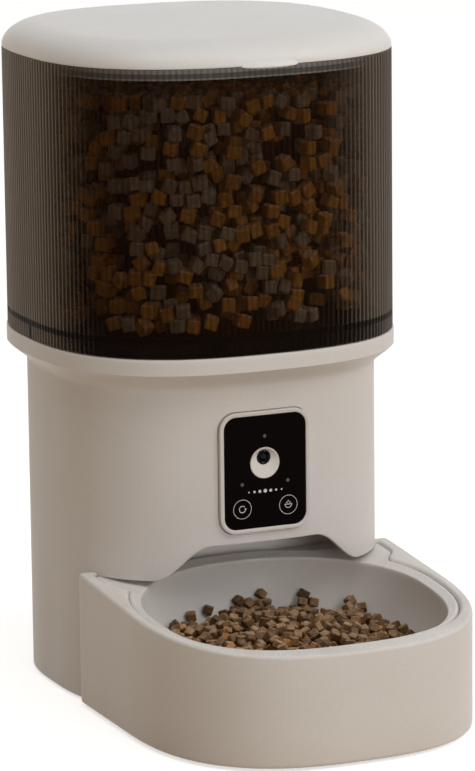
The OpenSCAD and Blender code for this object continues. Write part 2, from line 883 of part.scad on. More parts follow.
module gearbox_cover() {
    inset = 8;
    posts = [
        [box_left + inset, box_back - inset], [box_right - inset, box_back - inset],
        [box_left + inset, inset / 2], [box_right - inset, inset / 2]
    ];
    color(grey)
        on_axis()
            difference() {
                union() {
                    block(box_left, box_right, box_front, box_back, gearbox_top - gearbox_wall, gearbox_top);
                    for (p = posts)
                        translate([p[0], p[1], 0])
                            rod(4, gearbox_top - 1, well_under);
                }
                rod(shaft_r + run_gap, gearbox_z, gearbox_top + 1);
                translate([0, gear_reach, 0])
                    rod(pin_r + snug_gap, gearbox_z, gearbox_top - 0.3);
            }
}

module motor() {
    color(steel)
        translate([motor_x, axis_y + motor_y, 0])
            difference() {
                union() {
                    rod(motor_r, gearbox_z - motor_l, gearbox_z);
                    rod(4, gearbox_z - motor_l - 2, gearbox_z);
                    block(-5, -3.5, -1.5, 1.5, gearbox_z - motor_l - 5, gearbox_z - motor_l + 1);
                    block(3.5, 5, -1.5, 1.5, gearbox_z - motor_l - 5, gearbox_z - motor_l + 1);
                }
                rod(motor_shaft_r + run_gap, gearbox_z - 10, gearbox_z + 1);
            }
}

// Chute, niche roof, bulkhead and the tray's guides in one piece
module feed_niche() {
    low = niche_roof;
    high = well_under;
    color(grey)
        on_axis()
            difference() {
                union() {
                    chute_body(chute_half + chute_wall, chute_wall, low, high);
                    intersection() {
                        prism(column_plan(column_wall + snug_gap), low, low + 2.4);
                        block(-tank_w, tank_w, -tank_d, bulkhead_y + chute_wall, low - 1, low + 4);
                    }
                    intersection() {
                        prism(column_plan(column_wall + snug_gap), foot_h, low + 2.4);
                        block(-tank_w, tank_w, bulkhead_y, bulkhead_y + chute_wall, foot_h, low + 2.4);
                    }
                    for (s = [-1, 1])
                        intersection() {
                            prism(column_plan(column_wall + snug_gap), foot_h, guide_h);
                            translate([s * (tongue_half + slide_gap + guide_w / 2), 0, 0])
                                block(-guide_w / 2, guide_w / 2, cut_y, bulkhead_y + 1, 0, guide_h + 1);
                        }
                }
                chute_body(chute_half, 0, low - 1, high + 1);
            }
}

// Slanting duct: the side view drawn in Y and Z, extruded across
module chute_body(half, grow, z0, z1) {
    slope = (chute_back - mouth_back) / (well_under - niche_roof);
    near0 = chute_back - slope * (well_under - z0) + grow;
    near1 = chute_back - slope * (well_under - z1) + grow;
    reach = (mouth_back - chute_back - mouth_front + chute_front) / (well_under - niche_roof);
    span0 = chute_back - chute_front + reach * (well_under - z0) + 2 * grow;
    span1 = chute_back - chute_front + reach * (well_under - z1) + 2 * grow;
    translate([-half, 0, 0])
        rotate([90, 0, 90])
            linear_extrude(height = 2 * half)
                polygon([[near0, z0], [near1, z1], [near1 - span1, z1], [near0 - span0, z0]]);
}

module bottom_cover() {
    half_w = bay_w / 2;
    half_l = bay_l / 2;
    back = bulkhead_y + chute_wall + snug_gap;
    color(white)
        on_axis()
            difference() {
                union() {
                    intersection() {
                        prism(column_plan(column_wall + snug_gap), foot_h, cover_z);
                        block(-tank_w, tank_w, back, tank_d, 0, cover_z + 1);
                    }
                    block(
                        -half_w - cover_wall, half_w + cover_wall,
                        bay_y - half_l - cover_wall, bay_y + half_l + cover_wall,
                        foot_h, bay_top + cover_wall
                    );
                    for (x = [-1, 1], y = [-1, 1])
                        translate([x * (board_w / 2 - 6), board_y + y * (board_l / 2 - 20) - 12, 0])
                            rod(3, bay_top, board_z);
                }
                block(-half_w, half_w, bay_y - half_l, bay_y + half_l, foot_h - 1, bay_top);
                for (p = bosses)
                    translate([p[0], p[1], 0]) {
                        rod(screw_r + snug_gap, foot_h - 1, cover_z + 1);
                        rod(screw_r * 2 + snug_gap, foot_h - 1, foot_h + 1.2);
                    }
            }
}

module battery_door() {
    half_w = bay_w / 2 - slide_gap;
    half_l = bay_l / 2 - slide_gap;
    color(white)
        on_axis()
            difference() {
                block(-half_w, half_w, bay_y - half_l, bay_y + half_l, foot_h, cover_z);
                block(-10, 10, bay_y + half_l - 9, bay_y + half_l - 4, foot_h - 1, foot_h + 1);
            }
}

module battery_contacts() {
    pitch = cell_d + 0.5;
    color(steel)
        on_axis()
            for (i = [0:cells - 1], s = [-1, 1])
                translate([pitch * (i - (cells - 1) / 2), bay_y + s * (bay_l / 2), cover_z + cell_d / 2]) {
                    block(-9, 9, min(0, -0.6 * s), max(0, -0.6 * s), -9, 9);
                    rotate([90 * s, 0, 0])
                        cylinder(r1 = 6, r2 = 4, h = 1.6);
                }
}

module base_feet() {
    color(black)
        on_axis()
            for (p = feet)
                translate([p[0], p[1], 0])
                    rod(foot_r, 0, foot_h);
}

module cover_screws() {
    color(steel)
        on_axis()
            for (p = bosses)
                translate([p[0], p[1], 0])
                    difference() {
                        union() {
                            rod(screw_r, foot_h + 0.4, cover_z + 12);
                            rod(screw_r * 2, foot_h + 0.2, foot_h + 1.2);
                        }
                        block(-2, 2, -0.3, 0.3, foot_h, foot_h + 0.7);
                        block(-0.3, 0.3, -2, 2, foot_h, foot_h + 0.7);
                    }
}

module main_board() {
    front = board_y - board_l / 2;
    top = board_z + board_t;
    color(green)
        on_axis() {
            block(-board_w / 2, board_w / 2, front, front + board_l, board_z, top);
            block(-38, -20, front + 8, front + 34, top, top + 3);
            block(-10, 4, front + 14, front + 28, top, top + 1.4);
            block(14, 24, front + 10, front + 18, top, top + 4);
            block(lead_x - 6, lead_x + 6, front + 8, front + 14, top, top + plug_h);
            block(motor_x - 7, motor_x + 7, motor_y - 3, motor_y + 3, top, top + plug_h);
            for (x = [-30, -20])
                translate([x, front + 46, 0])
                    rod(4, top, top + 9);
        }
}

// Leads from the motor, the speaker and the panel down to the main board
module cables() {
    top = board_z + board_t;
    front = board_y - board_l / 2;
    ribbon_y = dish_back + barrel_l + 1.5;
    speaker_y = inner_b - 0.6 - speaker_l;
    color(black)
        on_axis() {
            for (s = [-1, 1])
                translate([motor_x + s * 4.25, motor_y, 0])
                    rod(0.9, top + plug_h, gearbox_z - motor_l - 5);
            lead(1.2, [[0, speaker_y, speaker_z], [0, speaker_y - 4, speaker_z], [0, speaker_y - 4, top]]);
            lead(1.2, [
                [camera_board / 2, ribbon_y - 0.75, camera_z - 8],
                [lead_x, ribbon_y - 0.75, camera_z - 8],
                [lead_x, bulkhead_y + 4, niche_roof + 12],
                [lead_x, front + 11, niche_roof - 10],
                [lead_x, front + 11, top + plug_h]
            ]);
        }
}

// A round lead through a list of points
module lead(r, path) {
    for (i = [0:len(path) - 2]) {
        d = path[i + 1] - path[i];
        flat = norm([d[0], d[1]]);
        translate(path[i])
            rotate([0, atan2(flat, d[2]), atan2(d[1], d[0])])
                cylinder(r = r, h = norm(d));
        if (i > 0)
            translate(path[i])
                rotate([35, 0, 50])
                    sphere(r = 1.45 * r);
    }
}

module power_socket() {
    back = inner_b - 0.4;
    color(steel)
        on_axis()
            difference() {
                translate([0, board_y + board_l / 2 - 4, socket_z])
                    rotate([-90, 0, 0])
                        linear_extrude(height = back - board_y - board_l / 2 + 4)
                            polygon(rounded(socket_w + 0.6, socket_h + 0.8, 1.6));
                translate([0, back - 6.5, socket_z])
                    rotate([-90, 0, 0])
                        linear_extrude(height = 8)
                            polygon(rounded(socket_w, socket_h, 1.5));
            }
}

module speaker() {
    front = inner_b - 0.6;
    color(black)
        translate([0, axis_y + front, speaker_z])
            rotate([90, 0, 0])
                difference() {
                    union() {
                        cylinder(r = speaker_r, h = 2.5);
                        cylinder(r = speaker_r - 4, h = 7);
                        cylinder(r = speaker_r - 6, h = speaker_l);
                    }
                    translate([0, 0, -1])
                        cylinder(r1 = speaker_r - 1, r2 = 4, h = 4);
                }
}

module panel_bezel() {
    color(white)
        on_panel(seat_y, panel_z)
            linear_extrude(height = seat_y - bezel_y)
                difference() {
                    polygon(rounded(bezel_w, bezel_h, bezel_round));
                    polygon(rounded(panel_w + 2 * snug_gap, panel_h + 2 * snug_gap, panel_round));
                }
}

module panel_plate() {
    post = button_board_y - seat_y;
    color(black)
        on_panel(seat_y, panel_z)
            difference() {
                union() {
                    linear_extrude(height = panel_t)
                        polygon(rounded(panel_w, panel_h, panel_round));
                    for (s = [-1, 1])
                        translate([0, s * 5 - button_fall, -post])
                            cylinder(r = 2, h = post + 1);
                }
                translate([0, camera_rise, -1])
                    cylinder(r = camera_r, h = panel_t + 2);
                for (s = [-1, 1]) {
                    translate([s * button_x, -button_fall, -1])
                        cylinder(r = button_r, h = panel_t + 2);
                    translate([s * lamp_x, -lamp_fall, -1])
                        cylinder(r = lamp_r, h = panel_t + 2);
                }
                translate([0, lamp_rise, -1])
                    cylinder(r = lamp_r, h = panel_t + 2);
            }
}

// White dish whose cone runs up to the lens, off centre
module camera_dish() {
    depth = dish_back - panel_y;
    color(white)
        on_panel(dish_back, camera_z)
            difference() {
                cylinder(r = camera_r - snug_gap, h = depth);
                hull() {
                    translate([0, 0, depth])
                        cylinder(r = camera_r - 0.7, h = 0.2);
                    translate([0, lens_rise, depth - dish_depth])
                        cylinder(r = lens_r + snug_gap, h = 0.2);
                }
                translate([0, lens_rise, -1])
                    cylinder(r = lens_r + snug_gap, h = depth);
            }
}

module camera_lens() {
    dome = 1.2 * lens_r;
    edge = sqrt(dome * dome - lens_r * lens_r);
    color(black)
        on_panel(dish_back, camera_z + lens_rise)
            intersection() {
                cylinder(r = lens_r, h = 4);
                translate([0, 0, 1.2 - edge])
                    sphere(r = dome);
            }
}

module camera_module() {
    color(black)
        on_panel(dish_back + barrel_l + 1.5, camera_z) {
            translate([0, lens_rise / 2, 1.5])
                cylinder(r = barrel_r, h = barrel_l);
            translate([-camera_board / 2, -camera_board / 2, 0])
                cube([camera_board, camera_board, 1.5]);
        }
}

module lamps() {
    spots = [[lamp_x, -lamp_fall], [-lamp_x, -lamp_fall], [0, lamp_rise]];
    color(amber)
        on_panel(seat_y + 3.5, panel_z)
            for (p = spots)
                translate([p[0], p[1], 0]) {
                    cylinder(r = lamp_r + 0.7, h = 3.5);
                    cylinder(r = lamp_r - snug_gap, h = 3.4 + panel_t);
                }
}

module button_board() {
    color(green)
        on_panel(button_board_y + board_t, button_z) {
            translate([-button_x - cap_r - 2, -cap_r - 2, 0])
                cube([2 * (button_x + cap_r + 2), 2 * (cap_r + 2), board_t]);
            for (s = [-1, 1])
                translate([s * button_x, 0, board_t]) {
                    translate([-3, -3, 0])
                        cube([6, 6, switch_l - 1]);
                    cylinder(r = 1.6, h = switch_l);
                }
        }
}

module button(side) {
    color(black)
        on_panel(cap_end, button_z)
            translate([side * button_x, 0, 0]) {
                cylinder(r = cap_r, h = cap_end - panel_y);
                cylinder(r = button_r + button_lip, h = lip_t);
            }
}

module reset_button() {
    button(-1);
}

module feed_button() {
    button(1);
}

module tray() {
    high = rim_h + 20;
    pocket = bowl_wall + 0.8;
    color(white)
        difference() {
            on_axis()
                prism(tray_plan(0), foot_h, high);
            on_rim()
                block(-tank_w, tank_w, -tank_w, tank_w, 0, 40);
            difference() {
                on_axis()
                    prism(tray_plan(tray_wall), tray_floor, high + 10);
                on_rim()
                    block(-tank_w, tank_w, -tank_w, tank_w, -shelf, 60);
            }
            on_rim()
                translate([0, 0, -flange_sink - flange_t])
                    flange(slide_gap, 20);
            on_rim()
                prism(squircle(bowl_w / 2 + pocket, bowl_d / 2 + pocket, bowl_power), -shelf - 3, 0);
            on_axis()
                prism(column_plan(-air_gap), lobe_z - 1.6, high + 20);
        }
}

module tray_pads() {
    color(black)
        on_axis()
            for (p = tray_feet)
                translate([p[0], p[1], 0])
                    rod(foot_r, 0, foot_h);
}

module bowl() {
    a = bowl_w / 2;
    b = bowl_d / 2;
    color(white)
        on_rim()
            difference() {
                union() {
                    translate([0, 0, -flange_sink - flange_t])
                        flange(0, flange_t);
                    loft([
                        for (i = [0:5])
                            let (t = 90 - 18 * i)
                            let (run = bowl_round * (1 - cos(t)) - bowl_wall)
                            at(squircle(a - run, b - run, bowl_power),
                                -flange_sink - 0.5 - (bowl_depth + bowl_wall - 0.5) * sin(t))
                    ]);
                }
                loft(concat(
                    [
                        for (i = [0:5])
                            let (t = 90 - 18 * i)
                            let (run = bowl_round * (1 - cos(t)))
                            at(squircle(a - run, b - run, bowl_power), -flange_sink - bowl_depth * sin(t))
                    ],
                    [at(squircle(a, b, bowl_power), 1)]
                ));
            }
}

hopper_tank();
hopper_funnel();
lid();
lid_seal();
desiccant_box();
desiccant_cap();
housing();
rotor_well();
rotor_hub();
rotor_vanes();
drive_shaft();
output_gear();
idler_gear();
idler_pin();
motor_pinion();
gearbox_case();
gearbox_cover();
motor();
feed_niche();
bottom_cover();
battery_door();
battery_contacts();
base_feet();
cover_screws();
main_board();
cables();
power_socket();
speaker();
panel_bezel();
panel_plate();
camera_dish();
camera_lens();
camera_module();
lamps();
button_board();
reset_button();
feed_button();
tray();
tray_pads();
bowl();
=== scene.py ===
import bpy
import bmesh
import math
import numpy as np
from mathutils import Matrix


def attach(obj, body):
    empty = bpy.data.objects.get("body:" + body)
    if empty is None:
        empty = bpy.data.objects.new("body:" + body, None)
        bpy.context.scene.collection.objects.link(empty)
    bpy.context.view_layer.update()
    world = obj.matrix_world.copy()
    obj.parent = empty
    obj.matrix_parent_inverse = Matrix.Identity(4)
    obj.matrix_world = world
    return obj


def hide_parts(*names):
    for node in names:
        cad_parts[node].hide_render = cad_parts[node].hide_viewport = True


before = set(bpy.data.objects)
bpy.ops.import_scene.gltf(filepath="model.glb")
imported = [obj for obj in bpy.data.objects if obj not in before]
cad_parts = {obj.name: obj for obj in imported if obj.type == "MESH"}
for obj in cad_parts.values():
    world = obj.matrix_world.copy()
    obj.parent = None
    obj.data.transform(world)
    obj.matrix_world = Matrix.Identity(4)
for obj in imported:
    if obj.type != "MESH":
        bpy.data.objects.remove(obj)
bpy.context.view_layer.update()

from types import SimpleNamespace

scene = bpy.context.scene
scene.view_settings.view_transform = "Standard"
axisY = 52.9  # the column's axis stands this far behind the feeder's middle, in mm
mm = 0.001
print("frame loaded", len(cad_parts), "nodes")


# mesh helpers: everything is worked out in mm on the column's axis, then put into metres

def named(look):
    # a dictionary of settings, read by name
    return SimpleNamespace(**look)


def squircle(halfX, halfY, power, angles):
    # rounded outline: along each angle the reach is (|cos/a|^n + |sin/b|^n)^(-1/n)
    c, s = np.cos(angles), np.sin(angles)
    reach = (np.abs(c / halfX) ** power + np.abs(s / halfY) ** power) ** (-1 / power)
    return reach * c, reach * s


def shrunk(shape, inset, angles):
    # the outline of a piece, drawn in by an inset
    return squircle(shape.halfX - inset, shape.halfY - inset, shape.power, angles)


def squircleEdge(x, halfX, halfY, power):
    # the same outline as a height over x
    return halfY * (1 - (np.abs(x) / halfX) ** power) ** (1 / power)


def turn(count):
    # even steps once round
    return np.linspace(0, 2 * np.pi, count, endpoint=False)


def sweep(start, stop, count):
    # even steps from one angle to another, given in degrees
    return np.radians(np.linspace(start, stop, count))


def quarter(start, stop, count):
    # steps along a quarter of a circle: how far in each lies, and how far up
    a = sweep(start, stop, count)
    return np.stack([1 - np.cos(a), np.sin(a)], -1)


def ease(t):
    # half a cosine wave from 0 to 1, level beyond both ends
    return (1 - np.cos(np.pi * np.clip(t, 0, 1))) / 2


def lay(x, y, z):
    # points from three arrays, each spread to the shape of the others
    return np.stack(np.broadcast_arrays(x, y, z), -1)


def gridFaces(rows, count, wrapRing=True, wrapRows=False):
    # quads of a grid; with rows running downwards and rings anticlockwise they face outwards
    r = np.arange(rows if wrapRows else rows - 1)[:, None]
    i = np.arange(count if wrapRing else count - 1)[None, :]
    r2, i2 = (r + 1) % rows, (i + 1) % count
    corners = np.broadcast_arrays(r * count + i, r2 * count + i, r2 * count + i2, r * count + i2)
    return np.stack(corners, -1).reshape(-1, 4)


noFans = np.zeros((0, 3), int)


def closedTube(rings):
    # a stack of rings whose last row meets the first
    return rings.reshape(-1, 3), gridFaces(*rings.shape[:2], True, True), noFans


def closedRings(rings, startPole, endPole):
    # a stack of rings, each end closed by a fan to its pole
    rows, count = rings.shape[:2]
    i, last = np.arange(count), (rows - 1) * count
    j, pole = (i + 1) % count, np.full(count, rows * count)
    fans = np.vstack([np.stack([pole, i, j], -1), np.stack([pole + 1, last + j, last + i], -1)])
    return np.vstack([rings.reshape(-1, 3), startPole, endPole]), gridFaces(rows, count), fans


def sweptLoop(path, normals, z, offsets, depths):
    # a closed section carried round a closed path: path + normal * offset, at each depth
    rings = path + normals * np.array(offsets)[:, None, None]
    return closedTube(lay(rings[..., 0], np.array(depths)[:, None], rings[..., 1] + z))


def spun(radii, depths, centre, count=48):
    # a profile turned about an axis that points to the front; its two ends are the poles
    r, d = (np.array(row, float)[:, None] for row in (radii, depths))
    rings = lay(r * np.cos(turn(count)), d, r * np.sin(turn(count)))[1:-1] + centre
    return closedRings(rings, *(np.add(centre, [0, depths[k], 0]) for k in (0, -1)))


def outward(shell):
    # the signed volume of all fans from the first point tells which way a closed shell faces
    points, quads, fans = shell
    corners = np.vstack([quads[:, [0, 1, 2]], quads[:, [0, 2, 3]], fans])
    a, b, c = (points[corners[:, k]] - points[0] for k in range(3))
    if np.einsum("ij,ij->", a, np.cross(b, c)) < 0:
        return points, quads[:, ::-1], fans[:, ::-1]
    return shell


def addPiece(name, shells, finishName, body, nodes=(), sharpAngle=35, closed=True):
    # one mesh from one or more shells, riding on a body and standing in for CAD nodes
    points, faces, start = [], [], 0
    for shell in shells:
        grid, quads, fans = outward(shell) if closed else shell
        points.append(grid)
        faces += (quads + start).tolist() + (fans + start).tolist()
        start += len(grid)
    points = (np.vstack(points) + [0, axisY, 0]) * mm
    mesh = bpy.data.meshes.new(name)
    mesh.from_pydata(points.tolist(), [], faces)
    mesh.polygons.foreach_set("use_smooth", np.ones(len(mesh.polygons), bool))
    mesh.set_sharp_from_angle(angle=math.radians(sharpAngle))
    mesh.materials.append(finish[finishName])
    piece = bpy.data.objects.new(name, mesh)
    scene.collection.objects.link(piece)
    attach(piece, body)
    if nodes:
        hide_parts(*nodes)
    return piece


def addShade(piece, label, values):
    # a number for each point, which a finish reads by its label
    attribute = piece.data.attributes.new(label, "FLOAT", "POINT")
    attribute.data.foreach_set("value", values.astype(np.float32).ravel())


def roundedLoop(width, height, radius, perCorner=12):
    # outline of a rounded rectangle, anticlockwise, and its outward normals
    a = np.concatenate([np.linspace(0, np.pi / 2, perCorner) + q * np.pi / 2 for q in range(4)])
    normals = np.stack([np.cos(a), np.sin(a)], -1)
    signs = np.repeat([[1, 1], [-1, 1], [-1, -1], [1, -1]], perCorner, 0)
    return signs * [width / 2 - radius, height / 2 - radius] + radius * normals, normals


# node helpers

def plug(tree, socket, value):
    # a socket takes either another socket or a plain value
    if isinstance(value, bpy.types.NodeSocket):
        tree.links.new(value, socket)
    else:
        socket.default_value = value


def addNode(tree, kind, settings=(), **inputs):
    node = tree.nodes.new("ShaderNode" + kind)
    for key, value in dict(settings).items():
        setattr(node, key, value)
    for key, value in inputs.items():
        plug(tree, node.inputs[key.replace("_", " ")], value)
    return node


def noise(tree, vector, scale, detail=2.0, rough=0.5):
    node = addNode(tree, "TexNoise", Vector=vector, Scale=scale, Detail=detail, Roughness=rough)
    return node.outputs["Fac"]


def spread(tree, value, low, high, toLow=0.0, toHigh=1.0):
    # straight change of range
    node = addNode(tree, "MapRange", Value=value, From_Min=low, From_Max=high, To_Min=toLow, To_Max=toHigh)
    return node.outputs["Result"]


def sums(tree, operation, first, second):
    node = addNode(tree, "Math", {"operation": operation})
    plug(tree, node.inputs[0], first)
    plug(tree, node.inputs[1], second)
    return node.outputs[0]


def blendColour(tree, factor, first, second):
    node = addNode(tree, "Mix", {"data_type": "RGBA"}, Factor=factor)
    for socket, value in zip([s for s in node.inputs if s.type == "RGBA"], (first, second)):
        plug(tree, socket, value)
    return [s for s in node.outputs if s.type == "RGBA"][0]


def tone(red, green, blue):
    # written as the screen shows it, turned into the renderer's straight values
    c = np.array([red, green, blue]) / 255
    c = np.where(c <= 0.04045, c / 12.92, ((c + 0.055) / 1.055) ** 2.4)
    return (*c.tolist(), 1.0)


def upFacing(tree, low, high):
    # 0 to 1 as the surface turns from the side to the sky
    split = addNode(tree, "SeparateXYZ", Vector=addNode(tree, "NewGeometry").outputs["Normal"])
    return spread(tree, split.outputs["Z"], low, high)


def newGroup(name, label, value, outputs):
    # a group that reads a place and one number
    group = bpy.data.node_groups.new(name, "ShaderNodeTree")
    group.interface.new_socket("Vector", in_out="INPUT", socket_type="NodeSocketVector")
    group.interface.new_socket(label, in_out="INPUT", socket_type="NodeSocketFloat").default_value = value
    for output in outputs:
        group.interface.new_socket(output, in_out="OUTPUT", socket_type="NodeSocketFloat")
    return group, group.nodes.new("NodeGroupInput").outputs, group.nodes.new("NodeGroupOutput").inputs


def mouldedSkinGroup():
    # moulded plastic: spark grain for the bump, slow patches for the colour, wipe marks for the gloss
    group, start, end = newGroup("mouldedSkin", "Grain", 1400.0, ("Height", "Patch", "Wipe"))
    vector = start["Vector"]
    fine = noise(group, vector, start["Grain"], 3.0, 0.6)
    wave = noise(group, vector, 60.0)
    plug(group, end["Height"], sums(group, "ADD", fine, sums(group, "MULTIPLY", wave, 0.6)))
    slow = spread(group, noise(group, vector, 22.0, 4.0), 0.3, 0.7, 0.0, 0.6)
    speck = spread(group, fine, 0.32, 0.68, -0.5, 0.9)
    plug(group, end["Patch"], sums(group, "ADD", slow, speck))
    squeeze = addNode(group, "Mapping", Vector=vector, Scale=(90.0, 90.0, 14.0))
    wipe = noise(group, squeeze.outputs["Vector"], 1.0, 5.0, 0.65)
    plug(group, end["Wipe"], spread(group, wipe, 0.35, 0.75))
    return group


def dustAndTopLightGroup():
    # where the surface looks up, thinned by two sizes of noise: settled dust in a darker tone, painted top
    # light in a pale tone
    group, start, end = newGroup("dustAndPaintedTopLight", "Amount", 0.1, ("Mask",))
    specks = spread(group, noise(group, start["Vector"], 900.0), 0.56, 0.72)
    cloud = spread(group, noise(group, start["Vector"], 35.0, 3.0), 0.35, 0.7, 0.15, 1.0)
    mask = sums(group, "MULTIPLY", upFacing(group, 0.55, 1.0), cloud)
    mask = sums(group, "MULTIPLY", mask, sums(group, "ADD", specks, 0.35))
    plug(group, end["Mask"], sums(group, "MULTIPLY", mask, start["Amount"]))
    return group


skinGroup = mouldedSkinGroup()
dustAndTopLightNodes = dustAndTopLightGroup()


# finishes

def newMaterial(name, **sockets):
    material = bpy.data.materials.new(name)
    material.use_nodes = True
    tree = material.node_tree
    shader = tree.nodes["Principled BSDF"]
    for key, value in sockets.items():
        shader.inputs[key.replace("_", " ")].default_value = value
    return material, tree, shader, addNode(tree, "TexCoord").outputs["Object"]


def useGroup(tree, group, vector, **inputs):
    return addNode(tree, "Group", {"node_tree": group}, Vector=vector, **inputs).outputs


def readShade(tree, label):
    return addNode(tree, "Attribute", {"attribute_name": label}).outputs["Fac"]


def coat(tree, shader, colour, roughness, height, strength, depth):
    # colour and gloss of a surface, and its relief
    plug(tree, shader.inputs["Base Color"], colour)
    plug(tree, shader.inputs["Roughness"], roughness)
    relief = addNode(tree, "Bump", Height=height, Strength=strength, Distance=depth)
    plug(tree, shader.inputs["Normal"], relief.outputs["Normal"])


def plastic(name, light, dark, rough=(0.36, 0.46), grain=1400.0, bump=0.05, gloss=0.5, dustAndTopLight=0.0,
            dustAndTopLightTone=(188, 182, 172)):
    material, tree, shader, vector = newMaterial(name, Specular_IOR_Level=gloss)
    skin = useGroup(tree, skinGroup, vector, Grain=grain)
    colour = blendColour(tree, skin["Patch"], tone(*dark), tone(*light))
    # on the faces that look up: settled dust where its tone is darker, painted top light where its tone is
    # pale
    if dustAndTopLight:
        mask = useGroup(tree, dustAndTopLightNodes, vector, Amount=dustAndTopLight)["Mask"]
        colour = blendColour(tree, mask, colour, tone(*dustAndTopLightTone))
    coat(tree, shader, colour, spread(tree, skin["Wipe"], 0.0, 1.0, *rough), skin["Height"], bump, 0.0004)
    return material


def brushedMetal(name, light, dark, rough):
    material, tree, shader, vector = newMaterial(name, Metallic=1.0)
    stretch = addNode(tree, "Mapping", Vector=vector, Scale=(1.0, 1.0, 0.06))
    lines = noise(tree, stretch.outputs["Vector"], 2600.0, 3.0)
    coat(tree, shader, blendColour(tree, lines, dark, light), spread(tree, lines, 0.3, 0.7, *rough),
         lines, 0.1, 0.0002)
    return material


smokeLook = dict(
    clear=((40, 26, 16), (46, 31, 20)), hazy=((150, 141, 131), (70, 61, 52)), dark=(16, 10, 7),
    haze=(0.26, 0.63), film=(0.18, 0.86), smoke=(0.3, 0.34), rough=(0.32, 0.42), cover=0.99, grain=260.0,
    bend=1.07)


def smokedWall(name, look):
    # tinted clear plastic: seen edge on there is more of it to look through, and it turns paler, partly its
    # own milky colour and partly a painted reflection of the bright room; the grooves carry painted dark
    # streaks in place of the light the flutes bend
    material, tree, shader, vector = newMaterial(name, IOR=look.bend)
    skin = useGroup(tree, skinGroup, vector, Grain=look.grain)
    groove, touch = readShade(tree, "grooveShade"), readShade(tree, "touchShade")
    haze = spread(tree, addNode(tree, "LayerWeight", Blend=0.5).outputs["Facing"], *look.haze)
    clear = blendColour(tree, skin["Patch"], *(tone(*c) for c in look.clear))
    hazy = blendColour(tree, groove, *(tone(*c) for c in look.hazy))
    colour = blendColour(tree, touch, blendColour(tree, haze, clear, hazy), tone(*look.dark))
    smoke = sums(tree, "MULTIPLY", groove, spread(tree, haze, 0.0, 1.0, *look.smoke))
    film = sums(tree, "ADD", spread(tree, haze, 0.0, 1.0, *look.film), smoke)
    film = sums(tree, "MAXIMUM", film, sums(tree, "MULTIPLY", touch, look.cover))
    plug(tree, shader.inputs["Base Color"], colour)
    plug(tree, shader.inputs["Alpha"], film)
    plug(tree, shader.inputs["Roughness"], spread(tree, skin["Wipe"], 0.0, 1.0, *look.rough))
    return material


# a piece's shade picks its colour: first the painted shade of the gaps and the lower pieces, then the grey
# sort, the heap's brown sort and the ochre sort
crustLook = dict(
    stops={0.0: (48, 22, 6), 0.05: (104, 50, 14), 0.1: (134, 114, 97), 0.35: (158, 136, 116),
           0.45: (98, 63, 34), 0.7: (176, 140, 104), 0.8: (180, 117, 60), 1.0: (198, 137, 75)},
    burnt=(62, 34, 14), burntShare=0.45, blotchGrain=330.0, crumb=(196, 172, 138), crumbShare=0.42,
    crumbGrain=1500.0, value=(0.68, 1.16), saturation=(1.12, 0.92), rough=(0.95, 0.75), pits=0.9)


def kibbleCrust(name, look):
    # baked crumb: each piece has its own shade, pitted all over
    material, tree, shader, vector = newMaterial(name, Specular_IOR_Level=0.2)
    shade = readShade(tree, "kibbleShade")
    ramp = addNode(tree, "ValToRGB", Fac=shade)
    while len(ramp.color_ramp.elements) < len(look.stops):
        ramp.color_ramp.elements.new(0.5)
    for element, (place, colour) in zip(ramp.color_ramp.elements, look.stops.items()):
        element.position, element.color = place, tone(*colour)
    crumb = noise(tree, vector, look.crumbGrain, 3.0, 0.6)
    blotch = spread(tree, noise(tree, vector, look.blotchGrain), 0.35, 0.7, 0.0, look.burntShare)
    colour = blendColour(tree, blotch, ramp.outputs["Color"], tone(*look.burnt))
    pale = spread(tree, crumb, 0.45, 0.7, 0.0, look.crumbShare)
    pale = sums(tree, "MULTIPLY", pale, spread(tree, shade, 0.05, 0.12))  # none on the pieces in painted shade
    colour = blendColour(tree, pale, colour, tone(*look.crumb))
    # painted light and shade: the faces that look up are lighter and paler, the other faces darker and deeper
    # in colour
    up = upFacing(tree, 0.1, 0.85)
    paintedTopLit = addNode(tree, "HueSaturation", Color=colour, Value=spread(tree, up, 0.0, 1.0, *look.value),
                     Saturation=spread(tree, up, 0.0, 1.0, *look.saturation))
    rough = spread(tree, crumb, 0.3, 0.7, *look.rough)
    coat(tree, shader, paintedTopLit.outputs["Color"], rough, crumb, look.pits, 0.0008)
    return material


